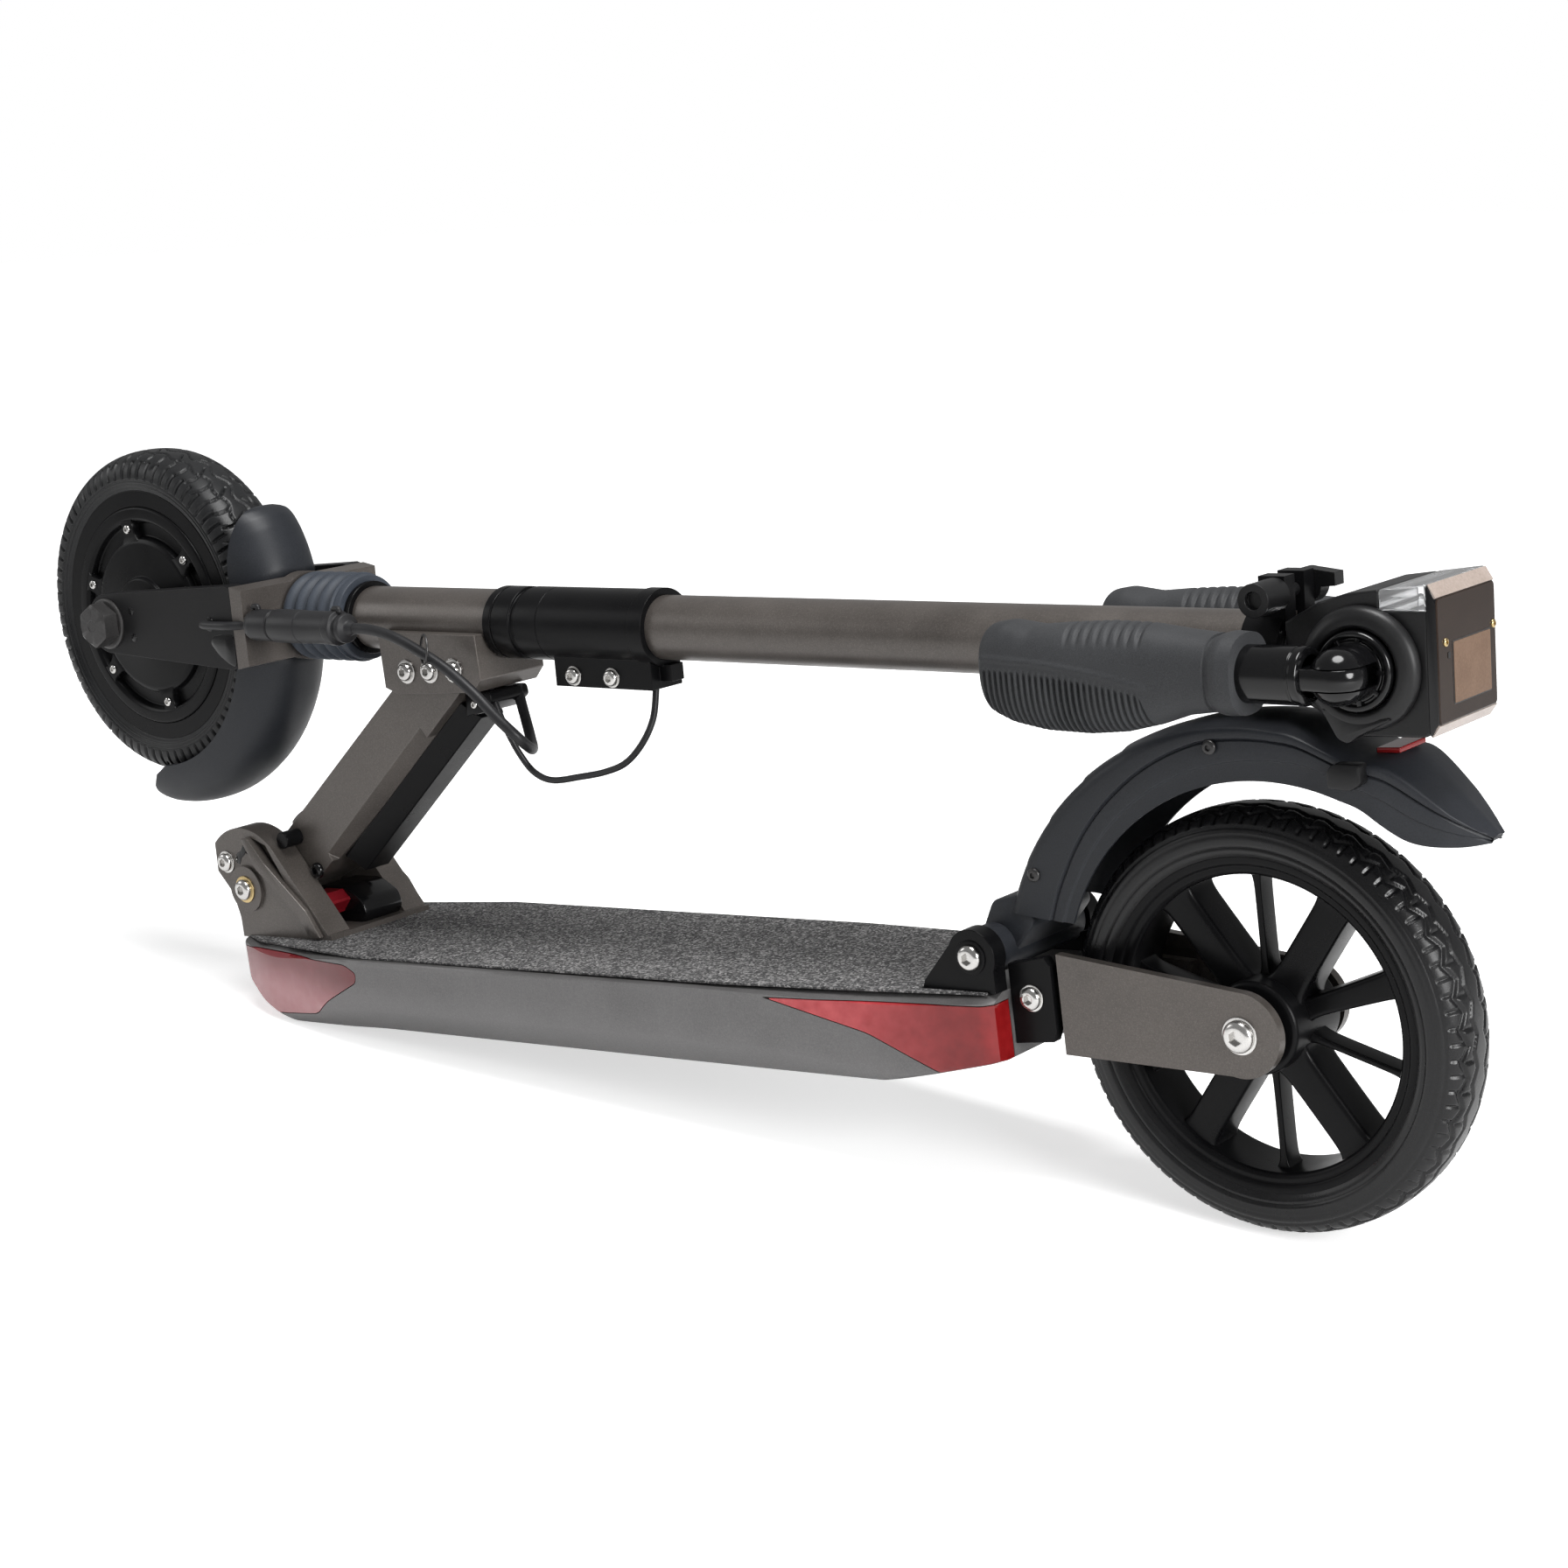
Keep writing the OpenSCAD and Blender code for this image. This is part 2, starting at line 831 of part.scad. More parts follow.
// Plug of the motor lead, behind the left leg.
module motor_plug() {
    color([0.06, 0.06, 0.07])
        on_stem() {
            cord(smooth(plug_route, 4), 2.6, 8, [0, 0, 1]);
            xcyl(9, 132, 205, -48, 2);
            xcyl(7, 205, 214, -48, 2);
        }
}

module front_tyre() {
    w = front_tyre_w / 2;
    r = tyre_r;
    color([0.05, 0.05, 0.05])
        on_stem()
            wheel_ring()
                polygon([
                    [drum_d / 2, -w + 2], [r - 15, -w], [r - 6, -w + 3], [r - 1.5, -w + 10],
                    [r, -w + 18], [r, w - 18], [r - 1.5, w - 10], [r - 6, w - 3],
                    [r - 15, w], [drum_d / 2, w - 2]
                ]);
}

module motor_drum() {
    w = front_tyre_w / 2 - 2;
    color([0.14, 0.14, 0.15])
        on_stem()
            difference() {
                ycyl(drum_d / 2, -w, w);
                ycyl(cover_d / 2, -w - 1, w + 1);
            }
}

// Side covers of the hub motor, with their screws.
module motor_covers() {
    w = front_tyre_w / 2 - 2;
    color([0.1, 0.1, 0.11])
        on_stem()
            both()
                difference() {
                    union() {
                        ycyl(cover_d / 2, -w - 1, -w + 5);
                        ycyl(24, -w - 6, -w);
                        ycyl(14, -w - 11, -w);
                        for (k = [0 : 7])
                            rotate([0, 45 * k + 20, 0])
                                ycyl(3.2, -w - 2.6, -w, cover_d / 2 - 7, 0);
                    }
                    ycyl(axle_d / 2 + running, -w - 12, -w + 6);
                }
}

module inner_tube() {
    color([0.75, 0.75, 0.76])
        on_stem()
            xring(steer_r, steer_r - 2, stem_s0 + 25, head_s + 16);
}

// Whole outer form of the display head, in side view and plan.
module head_form() {
    a = head_s;
    b = head_end;
    w = head_half_w;
    intersection() {
        side(-w, w)
            polygon([
                [a, 15], [a + 20, 25], [a + 35, 29.5], [b - 3, 34], [b, 27], [b, -25.5],
                [b - 5.5, -30.5], [a + 40, -31.5], [a + 18, -22], [a, -17]
            ]);
        translate([0, 0, -60])
            linear_extrude(120)
                polygon([
                    [a, -18], [a + 12, -22], [a + 26, -w], [b, -w],
                    [b, w], [a + 26, w], [a + 12, 22], [a, 18]
                ]);
    }
}

module headlight_form() {
    intersection() {
        head_form();
        block([head_end - 25, -40, 22.5], [head_end - 3.5, 40, 40]);
    }
}

module head_shell() {
    w = head_half_w;
    color([0.09, 0.09, 0.1])
        on_stem()
            difference() {
                head_form();
                headlight_form();
                block([head_end - 3.5, -40, -40], [head_end + 9, 40, 40]);
                xcyl(steer_r, head_s - 4, head_s + 16);
                block([head_s + 31, -w + 3, -26], [head_end - 7, w - 3, 19.5]);
            }
}

module headlight_lens() {
    color([0.8, 0.82, 0.84])
        on_stem()
            headlight_form();
}

module display_cover() {
    color([0.05, 0.045, 0.04])
        on_stem()
            difference() {
                intersection() {
                    head_form();
                    block([head_end - 3.5, -40, -40], [head_end + 9, 40, 40]);
                }
                block([head_end - 1, -14, -19], [head_end + 1, 21, 8]);
            }
}

module lcd_panel() {
    color([0.3, 0.24, 0.18])
        on_stem()
            block([head_end - 1, -14, -19], [head_end, 21, 8]);
}

// Bosses on the head's sides, each with a forked hinge and its pin for a handle.
module handle_clevis() {
    y0 = head_half_w;
    color([0.07, 0.07, 0.08])
        on_stem()
            both() {
                ycyl(boss_r, -y0 - 8, -y0, boss_s, boss_h);
                for (h = [-12.5, 8.2])
                    translate([0, 0, boss_h + h])
                        linear_extrude(4.3)
                            union() {
                                translate([boss_s, -handle_y])
                                    circle(r = 9);
                                translate([boss_s - 9, -handle_y])
                                    square([18, handle_y - y0 - 7]);
                            }
                translate([boss_s, -handle_y, boss_h - 12.5])
                    cylinder(r = 4, h = 25);
            }
}

// Thumb lever: a ring that turns on the boss, with a tab below.
module lever_ring() {
    y0 = head_half_w;
    difference() {
        union() {
            ycyl(27, -y0 - 7.6, -y0 - 0.4, boss_s, boss_h);
            side(-y0 - 7.6, -y0 - 0.4)
                polygon([
                    [boss_s - 16, boss_h - 18], [boss_s - 8, boss_h - 31],
                    [boss_s - 2, boss_h - 31], [boss_s + 14, boss_h - 20]
                ]);
        }
        ycyl(boss_r + running, -y0 - 9, -y0 + 1, boss_s, boss_h);
    }
}

module brake_lever() {
    color([0.1, 0.1, 0.11])
        on_stem()
            lever_ring();
}

module throttle_lever() {
    color([0.1, 0.1, 0.11])
        on_stem()
            mirror([0, 1, 0])
                lever_ring();
}

// Handle: a rounded tongue in the fork of the boss, with the bar tube.
module handle_form() {
    difference() {
        union() {
            translate([boss_s, -handle_y, boss_h - 8])
                cylinder(r = 9.5, h = 16);
            translate([boss_s - 24, -handle_y - 9.5, boss_h - 8])
                cube([24, 19, 16]);
            xcyl(12, boss_s - 30, boss_s - 19, -handle_y, boss_h);
            xcyl(handle_d / 2, boss_s - 100, boss_s - 22, -handle_y, boss_h);
        }
        translate([boss_s, -handle_y, boss_h - 9])
            cylinder(r = 4 + running, h = 18);
    }
}

// Grip: a rubber sleeve of rounded section, with a flange at its inner end.
module grip_form() {
    s1 = boss_s - 42;
    s0 = s1 - grip_len;
    d = (grip_h - grip_w) / 2;
    mid = boss_h - 2;
    difference() {
        union() {
            for (h = [-d, d])
                xcyl(grip_w / 2, s0 + 4, s1 - 8, -handle_y, mid + h);
            block(
                [s0 + 4, -handle_y - grip_w / 2, mid - d],
                [s1 - 8, -handle_y + grip_w / 2, mid + d]
            );
            for (h = [-d, d])
                xcyl(grip_w / 2 - 4, s0, s0 + 5, -handle_y, mid + h);
            xcyl(grip_w / 2 + 0.5, s1 - 8, s1, -handle_y, boss_h);
        }
        xcyl(handle_d / 2, boss_s - 100, s1 + 1, -handle_y, boss_h);
    }
}

module left_handle() {
    color([0.08, 0.08, 0.09])
        on_stem()
            handle_form();
}

module left_grip() {
    color([0.16, 0.17, 0.18])
        on_stem()
            grip_form();
}

module right_handle() {
    color([0.08, 0.08, 0.09])
        on_stem()
            mirror([0, 1, 0])
                handle_form();
}

module right_grip() {
    color([0.16, 0.17, 0.18])
        on_stem()
            mirror([0, 1, 0])
                grip_form();
}

// Rear bracket: ears for the mudguard on the deck and for the swing arm behind it.
module rear_bracket() {
    color([0.07, 0.07, 0.08])
        stance()
            difference() {
                union() {
                    both()
                        side(-46, -36) {
                            translate([guard_px, guard_pz])
                                circle(r = 13.5);
                            polygon([
                                [guard_px - 31, 0], [deck_x1, 0], [deck_x1, guard_pz],
                                [guard_px - 12, guard_pz + 6], [guard_px - 29, 5]
                            ]);
                        }
                    both()
                        side(-arm_in - 6.5, -arm_in - 0.5)
                            polygon([
                                [deck_x1, -27], [swing_px + 10, -25], [swing_px + 12, -20],
                                [swing_px + 12, 12], [swing_px + 9, 16], [deck_x1, 12]
                            ]);
                }
                ycyl(5, -50, 50, guard_px, guard_pz);
                ycyl(5, -50, 50, swing_px, swing_pz);
            }
}

// Pivot pins of the mudguard and of the swing arm, with their heads.
module rear_pins() {
    color([0.75, 0.75, 0.76])
        stance() {
            ycyl(5, -46, 46, guard_px, guard_pz);
            both()
                ycyl(6.5, -49.5, -46, guard_px, guard_pz);
            ycyl(5, -arm_in - 6.5, arm_in + 6.5, swing_px, swing_pz);
            both()
                ycyl(5.5, -arm_in - 9.5, -arm_in - 6.5, swing_px, swing_pz);
        }
}

// Side outline of the mudguard: an arc over the wheel, a long lower edge and a tail.
module guard_outline() {
    difference() {
        intersection() {
            translate(guard_mid)
                circle(r = guard_r);
            polygon([
                [-150, 34], [-118, 30], [-84, 32], [0, 0], [72, 84], [60, 150], [-150, 150]
            ]);
        }
        translate([14, -10.5])
            circle(r = 110);
    }
    polygon([
        [46, 97], [44, 117], [60, 109.5], [80, 109.5], [99, 90.5], tail_tip, tail_tip - [1.5, 2.5],
        [104, 69], [84, 72], [67, 87]
    ]);
}

// Plan of the mudguard, drawn in by i: straight sides and a tapered tail.
module guard_plan(i) {
    w = guard_half_w - i;
    x = tail_tip.x - i;
    translate([0, 0, -20])
        linear_extrude(180)
            polygon([
                [-160, -w], [x - 40, -w], [x - 14, i / 2 - 17], [x - 2, i / 2 - 8], [x + 2, 0],
                [x - 2, 8 - i / 2], [x - 14, 17 - i / 2], [x - 40, w], [-160, w]
            ]);
}

module rear_mudguard() {
    w = guard_half_w;
    color([0.12, 0.13, 0.15])
        stance()
            difference() {
                union() {
                    difference() {
                        intersection() {
                            side(-w, w)
                                guard_outline();
                            guard_plan(0);
                        }
                        intersection() {
                            side(-w, w) {
                                translate(guard_mid)
                                    circle(r = guard_r - guard_t);
                                polygon([
                                    [40, 77], [48, 112], [61, 106.4], [79, 106], [95.5, 89],
                                    [108, 76.5], [104, 60], [58, 60]
                                ]);
                            }
                            guard_plan(guard_t - 0.5);
                        }
                    }
                    ycyl(12, -35.6, 35.6, guard_px, guard_pz);
                    side(-w, w)
                        polygon([
                            [guard_px - 10, guard_pz + 5], [guard_px - 2, guard_pz + 24],
                            [guard_px + 14, guard_pz + 26], [guard_px + 14, guard_pz + 8],
                            [guard_px + 8, guard_pz - 4]
                        ]);
                    block([58, -w - 3, 100], [70, -w + 1, 107]);
                }
                ycyl(5 + running, -40, 40, guard_px, guard_pz);
            }
}

// Brake pad under the mudguard, above the tyre.
module brake_pad() {
    color([0.05, 0.05, 0.05])
        stance()
            side(-14, 14)
                intersection() {
                    difference() {
                        translate(guard_mid)
                            circle(r = guard_r - guard_t - running);
                        translate([0, rear_z])
                            circle(r = tyre_r + pad_gap);
                    }
                    polygon([[-50, 60], [-14, 70], [-16, 150], [-60, 150]]);
                }
}

module tail_lens() {
    color([0.7, 0.1, 0.05])
        stance()
            block([68.5, -12, 109.6], [80, 12, 112]);
}

module guard_screws() {
    y = guard_half_w;
    color([0.6, 0.6, 0.6])
        stance()
            both()
                for (a = [92, 148])
                    ycyl(3.2, -y - 1.8, -y, 132 * cos(a), rear_z + 132 * sin(a));
}

// Swing arm: a plate each side of the wheel, with an inner tongue on the pivot pin.
module swing_arm() {
    color([0.36, 0.33, 0.3])
        stance()
            both()
                difference() {
                    union() {
                        side(-arm_in - arm_t, -arm_in) {
                            translate([0, rear_z])
                                circle(r = 20);
                            polygon([
                                [-95, -31], [-95, 17.5], [4, 4.6], [4, -34.6]
                            ]);
                        }
                        side(-arm_in, -22.2) {
                            translate([swing_px, swing_pz])
                                circle(r = 10);
                            polygon([
                                [swing_px, swing_pz - 10], [-56, -22], [-56, 2],
                                [swing_px, swing_pz + 10]
                            ]);
                        }
                    }
                    ycyl(5 + running, -60, 0, swing_px, swing_pz);
                    ycyl(axle_d / 2, -60, 0, 0, rear_z);
                }
}

// Rear axle with its button heads.
module rear_axle() {
    y = arm_in + arm_t;
    color([0.75, 0.75, 0.76])
        at_rear_axle() {
            ycyl(axle_d / 2, -y, y);
            both()
                ycyl(8.5, -y - 5, -y);
            both()
                difference() {
                    ycyl(14, -arm_in, -hub_w / 2 - 1);
                    ycyl(axle_d / 2, -arm_in - 1, -hub_w / 2);
                }
        }
}

// One rear spoke along x: wide, tapered or thin.
module spoke(kind) {
    a = hub_d / 2 - 2;
    b = window_d / 2 + 1;
    if (kind == 1 || kind == 4)
        block([a, -11, -9], [b, 11, 9]);
    else if (kind == 3)
        side(-8, 8)
            polygon([[a, -4.5], [b, -7], [b, 7], [a, 4.5]]);
    else
        block([a, -6, -1.9], [b, 6, 1.9]);
}

// Black rear wheel: hub, rim and wide, tapered and thin spokes.
module rear_rim() {
    step = 360 / spokes;
    color([0.05, 0.05, 0.06])
        at_rear_axle()
            difference() {
                union() {
                    wheel_ring()
                        polygon([
                            [window_d / 2, -15], [rear_seat_d / 2 - 2, -17],
                            [rear_seat_d / 2, -17], [rear_seat_d / 2, 17],
                            [rear_seat_d / 2 - 2, 17], [window_d / 2, 15]
                        ]);
                    ycyl(hub_d / 2, -hub_w / 2, hub_w / 2);
                    for (k = [0 : spokes - 1])
                        rotate([0, -90 - step * k, 0])
                            spoke(k % 5);
                }
                ycyl(14, -hub_w / 2 - 1, -hub_w / 2 + 9);
                ycyl(14, hub_w / 2 - 9, hub_w / 2 + 1);
                ycyl(axle_d / 2 + 1, -hub_w, hub_w);
            }
}

module rear_tyre() {
    w = rear_tyre_w / 2;
    r = tyre_r;
    color([0.05, 0.05, 0.05])
        at_rear_axle()
            wheel_ring()
                polygon([
                    [rear_seat_d / 2, -w + 3], [r - 14, -w], [r - 5, -w + 2.5],
                    [r - 1, -w + 8], [r, -w + 15], [r, w - 15], [r - 1, w - 8],
                    [r - 5, w - 2.5], [r - 14, w], [rear_seat_d / 2, w - 3]
                ]);
}

module rear_bearings() {
    color([0.6, 0.6, 0.62])
        at_rear_axle()
            both()
                difference() {
                    ycyl(14, -hub_w / 2, -hub_w / 2 + 9);
                    ycyl(axle_d / 2 + running, -hub_w, 0);
                }
}

deck_shell();
grip_tape();
bottom_cover();
battery_pack();
controller();
front_lens();
rear_lenses();
hinge_bracket();
fold_bolts();
rear_bracket();
rear_pins();
lock_pedal();
arm();
arm_trim();
flange_bolts();
head_tube();
headset_cups();
motor_cable();
signal_cable();
steerer();
stem_sleeve();
sleeve_bolts();
stem_tube();
height_clamp();
clamp_knob();
bellows();
fork_spring();
clamp_lever();
fork_crown();
fork_legs();
front_mudguard();
front_axle();
motor_stator();
motor_plug();
front_tyre();
motor_drum();
motor_covers();
inner_tube();
head_shell();
display_cover();
lcd_panel();
headlight_lens();
handle_clevis();
brake_lever();
throttle_lever();
left_handle();
left_grip();
right_handle();
right_grip();
rear_mudguard();
brake_pad();
tail_lens();
guard_screws();
swing_arm();
rear_axle();
rear_rim();
rear_tyre();
rear_bearings();
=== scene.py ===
# %% [markdown]
# # A folded electric kick scooter, piece by piece
# The construction model is loaded as a fixed frame. This lesson dresses it: hard parts
# get eased edges, turned and lofted parts get their fine shape, and every finish gets
# its own grain. All drawing sizes below are millimetres; Blender's are metres.

# %% Load the frame
import json
import math
import bmesh
import bpy
import numpy as np
from mathutils import Matrix, Vector

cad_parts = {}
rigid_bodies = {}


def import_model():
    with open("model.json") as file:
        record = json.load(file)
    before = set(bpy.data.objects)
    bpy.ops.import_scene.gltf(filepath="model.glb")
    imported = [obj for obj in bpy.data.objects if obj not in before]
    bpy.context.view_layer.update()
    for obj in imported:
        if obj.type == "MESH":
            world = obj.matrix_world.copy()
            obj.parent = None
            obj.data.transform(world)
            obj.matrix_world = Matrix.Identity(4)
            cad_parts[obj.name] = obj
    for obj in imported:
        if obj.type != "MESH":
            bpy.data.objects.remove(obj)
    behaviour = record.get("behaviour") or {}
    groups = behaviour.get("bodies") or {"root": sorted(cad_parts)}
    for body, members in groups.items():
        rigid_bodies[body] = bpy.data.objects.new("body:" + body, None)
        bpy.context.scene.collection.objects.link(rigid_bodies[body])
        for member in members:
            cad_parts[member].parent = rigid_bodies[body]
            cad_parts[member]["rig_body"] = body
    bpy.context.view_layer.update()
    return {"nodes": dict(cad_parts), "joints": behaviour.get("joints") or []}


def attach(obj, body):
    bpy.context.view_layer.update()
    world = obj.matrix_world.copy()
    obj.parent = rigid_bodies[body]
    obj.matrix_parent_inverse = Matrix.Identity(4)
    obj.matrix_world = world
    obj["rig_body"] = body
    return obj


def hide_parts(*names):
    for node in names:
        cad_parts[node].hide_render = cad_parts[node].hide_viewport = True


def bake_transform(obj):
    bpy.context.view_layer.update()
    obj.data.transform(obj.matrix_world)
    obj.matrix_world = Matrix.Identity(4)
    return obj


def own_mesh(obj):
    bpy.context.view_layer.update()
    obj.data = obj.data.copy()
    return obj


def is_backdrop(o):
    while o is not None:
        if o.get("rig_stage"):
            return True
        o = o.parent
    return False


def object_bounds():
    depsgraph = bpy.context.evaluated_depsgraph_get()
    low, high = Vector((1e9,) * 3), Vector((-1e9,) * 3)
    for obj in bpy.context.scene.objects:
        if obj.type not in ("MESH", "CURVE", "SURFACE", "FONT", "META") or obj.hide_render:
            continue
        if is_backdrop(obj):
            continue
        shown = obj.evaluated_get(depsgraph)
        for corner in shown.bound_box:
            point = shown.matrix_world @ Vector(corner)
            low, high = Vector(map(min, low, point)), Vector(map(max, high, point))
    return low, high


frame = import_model()
MM = 0.001
scene = bpy.context.scene
joints = {j["name"]: j for j in frame["joints"]}

# %% [markdown]
# Two drawing frames carry all sizes. The deck frame has x = 0 at the rear axle, x to the
# rear, z = 0 on the deck's top. The stem frame starts at the front axle and runs along
# the folded stem. Both come from the record's joints, so nothing is fitted by eye.

# %% Drawing frames
FOLD_X = -673  # the fold pin, along the deck from the rear axle
FOLD_RISE = 45  # the fold pin above the rear axle
AXLE_DROP = 15  # the rear axle below the deck's top


def frame_along(origin, along):
    """a drawing frame with x along a direction, y across and z upwards"""
    x = Vector(along).normalized()
    y = Vector((0, 1, 0))
    m = Matrix((x, y, x.cross(y))).transposed().to_4x4()
    m.translation = origin
    return m


axle, pin = Vector(joints["rear_spin"]["pos_m"]), Vector(joints["fold"]["pos_m"])
drawn = math.atan2(FOLD_RISE, FOLD_X)
tilt = math.atan2(pin.z - axle.z, pin.x - axle.x) - drawn
DECK = frame_along(axle, (math.cos(tilt), 0, math.sin(tilt)))
DECK.translation = DECK @ Vector((0, 0, AXLE_DROP * MM))
STEM = frame_along(joints["front_spin"]["pos_m"], joints["height"]["axis"])
REAR = DECK @ Matrix.Translation((0, 0, -AXLE_DROP * MM))
print("deck tilt", round(math.degrees(tilt), 3), "degrees")


def placed(points, at):
    """points in millimetres of a drawing frame, as metres of the scene"""
    m = np.array(at)
    return np.asarray(points, float).reshape(-1, 3) * MM @ m[:3, :3].T + m[:3, 3]


# %% [markdown]
# The camera stands where the photograph was taken, left of the rear wheel and a little
# above it, rolled a few degrees. It could be placed by eye, but it was fitted once to the
# wheels and the deck, in the deck's frame.

# %% Camera
SENSOR = 36.0


def photo_camera(azimuth, elevation, roll, place, focal_px, image_px=1792):
    """a camera given by its angles and its place in the deck's frame"""
    a, e, r = (math.radians(v) for v in (azimuth, elevation, roll))
    back = Vector((math.sin(a) * math.cos(e), -math.cos(a) * math.cos(e), math.sin(e)))
    right = (-back).cross(Vector((0, 0, 1))).normalized()
    up = back.cross(right)
    x = right * math.cos(r) + up * math.sin(r)
    y = up * math.cos(r) - right * math.sin(r)
    turn = Matrix((x, y, back)).transposed()
    data = bpy.data.cameras.new("photo_camera")
    data.sensor_width = SENSOR
    data.lens = focal_px / image_px * SENSOR
    data.clip_start, data.clip_end = 0.05, 50
    cam = bpy.data.objects.new("photo_camera", data)
    m = DECK.to_3x3() @ turn
    cam.matrix_world = Matrix.Translation(placed([place], DECK)[0]) @ m.to_4x4()
    scene.collection.objects.link(cam)
    scene.camera = cam
    return cam


camera = photo_camera(azimuth=40.72, elevation=9.30, roll=-7.157,
                      place=(623.65, -1044.47, 315.72), focal_px=3109.8)
print("camera lens", round(camera.data.lens, 2), "mm")

# %% [markdown]
# ## Finishes
# Shared effects are node groups, built once and placed in each finish. `surface_grain`
# mixes a broad and a fine noise and gives a tone, a wear mask and a bump height, so that
# no surface is one flat colour. `grit` is the crushed mineral of the grip sheet, `flake`
# the metallic paint's sparkle. Painted pictures could do this too, but noise has no seams
# and stays sharp close up.

# %% Shared effects
FLOAT, VECTOR = "NodeSocketFloat", "NodeSocketVector"


def group(name, inputs, outputs):
    """an empty shader node group with named sockets"""
    tree = bpy.data.node_groups.new(name, "ShaderNodeTree")
    for label, kind, value in inputs:
        s = tree.interface.new_socket(label, in_out="INPUT", socket_type=kind)
        if value is not None:
            s.default_value = value
    for label, kind in outputs:
        tree.interface.new_socket(label, in_out="OUTPUT", socket_type=kind)
    return tree, tree.nodes.new("NodeGroupInput"), tree.nodes.new("NodeGroupOutput")


def feed(tree, value, socket):
    """put a number or a link into a socket"""
    if isinstance(value, (int, float)):
        socket.default_value = value
    else:
        tree.links.new(value, socket)


def math_node(tree, op, a, b, clamp=False):
    n = tree.nodes.new("ShaderNodeMath")
    n.operation, n.use_clamp = op, clamp
    feed(tree, a, n.inputs[0])
    feed(tree, b, n.inputs[1])
    return n.outputs[0]


def noise(tree, vector, scale, detail, rough=0.55):
    n = tree.nodes.new("ShaderNodeTexNoise")
    tree.links.new(vector, n.inputs["Vector"])
    feed(tree, scale, n.inputs["Scale"])
    n.inputs["Detail"].default_value = detail
    n.inputs["Roughness"].default_value = rough
    return n.outputs["Fac"]


def build_surface_grain():
    tree, i, o = group(
        "surface_grain",
        [("Vector", VECTOR, None), ("Broad", FLOAT, 25.0), ("Fine", FLOAT, 900.0), ("Mix", FLOAT, 0.4)],
        [("Tone", FLOAT), ("Wear", FLOAT), ("Height", FLOAT)],
    )
    broad = noise(tree, i.outputs["Vector"], i.outputs["Broad"], 4)
    fine = noise(tree, i.outputs["Vector"], i.outputs["Fine"], 2)
    part = math_node(tree, "MULTIPLY", fine, i.outputs["Mix"])
    rest = math_node(tree, "SUBTRACT", 1.0, i.outputs["Mix"])
    tone = math_node(tree, "ADD", part, math_node(tree, "MULTIPLY", broad, rest))
    spread = math_node(tree, "MULTIPLY", math_node(tree, "SUBTRACT", tone, 0.28), 2.2, True)
    wear = math_node(tree, "MULTIPLY", math_node(tree, "SUBTRACT", broad, 0.35), 3.0, True)
    tree.links.new(spread, o.inputs["Tone"])
    tree.links.new(wear, o.inputs["Wear"])
    tree.links.new(fine, o.inputs["Height"])
    return tree


def coloured_cells(tree, i):
    """random cells, each with chance values of its own"""
    cells = tree.nodes.new("ShaderNodeTexVoronoi")
    for label in ("Vector", "Scale"):
        tree.links.new(i.outputs[label], cells.inputs[label])
    split = tree.nodes.new("ShaderNodeSeparateColor")
    tree.links.new(cells.outputs["Color"], split.inputs[0])
    return cells, split.outputs


def build_flake():
    tree, i, o = group(
        "flake",
        [("Vector", VECTOR, None), ("Scale", FLOAT, 2600.0)],
        [("Sparkle", FLOAT), ("Height", FLOAT)],
    )
    _, chance = coloured_cells(tree, i)
    tree.links.new(math_node(tree, "POWER", chance[0], 5.0), o.inputs["Sparkle"])
    tree.links.new(chance[1], o.inputs["Height"])
    return tree


def build_grit():
    tree, i, o = group(
        "grit",
        [("Vector", VECTOR, None), ("Scale", FLOAT, 900.0)],
        [("Glint", FLOAT), ("Height", FLOAT)],
    )
    cells, chance = coloured_cells(tree, i)
    tree.links.new(math_node(tree, "POWER", chance[0], 3.0), o.inputs["Glint"])
    dome = math_node(tree, "SUBTRACT", chance[1], cells.outputs["Distance"])
    tree.links.new(dome, o.inputs["Height"])
    return tree


GRAIN, FLAKE, GRIT = build_surface_grain(), build_flake(), build_grit()
print("effects:", GRAIN.name, FLAKE.name, GRIT.name)

# %% [markdown]
# One function writes each finish: a dark and a light tone mixed by the grain, roughness
# between two limits, and a fine bump. Each could have its own node tree, but one writer
# keeps them alike. Constants go straight onto the shader's sockets.

# %% Finish writer


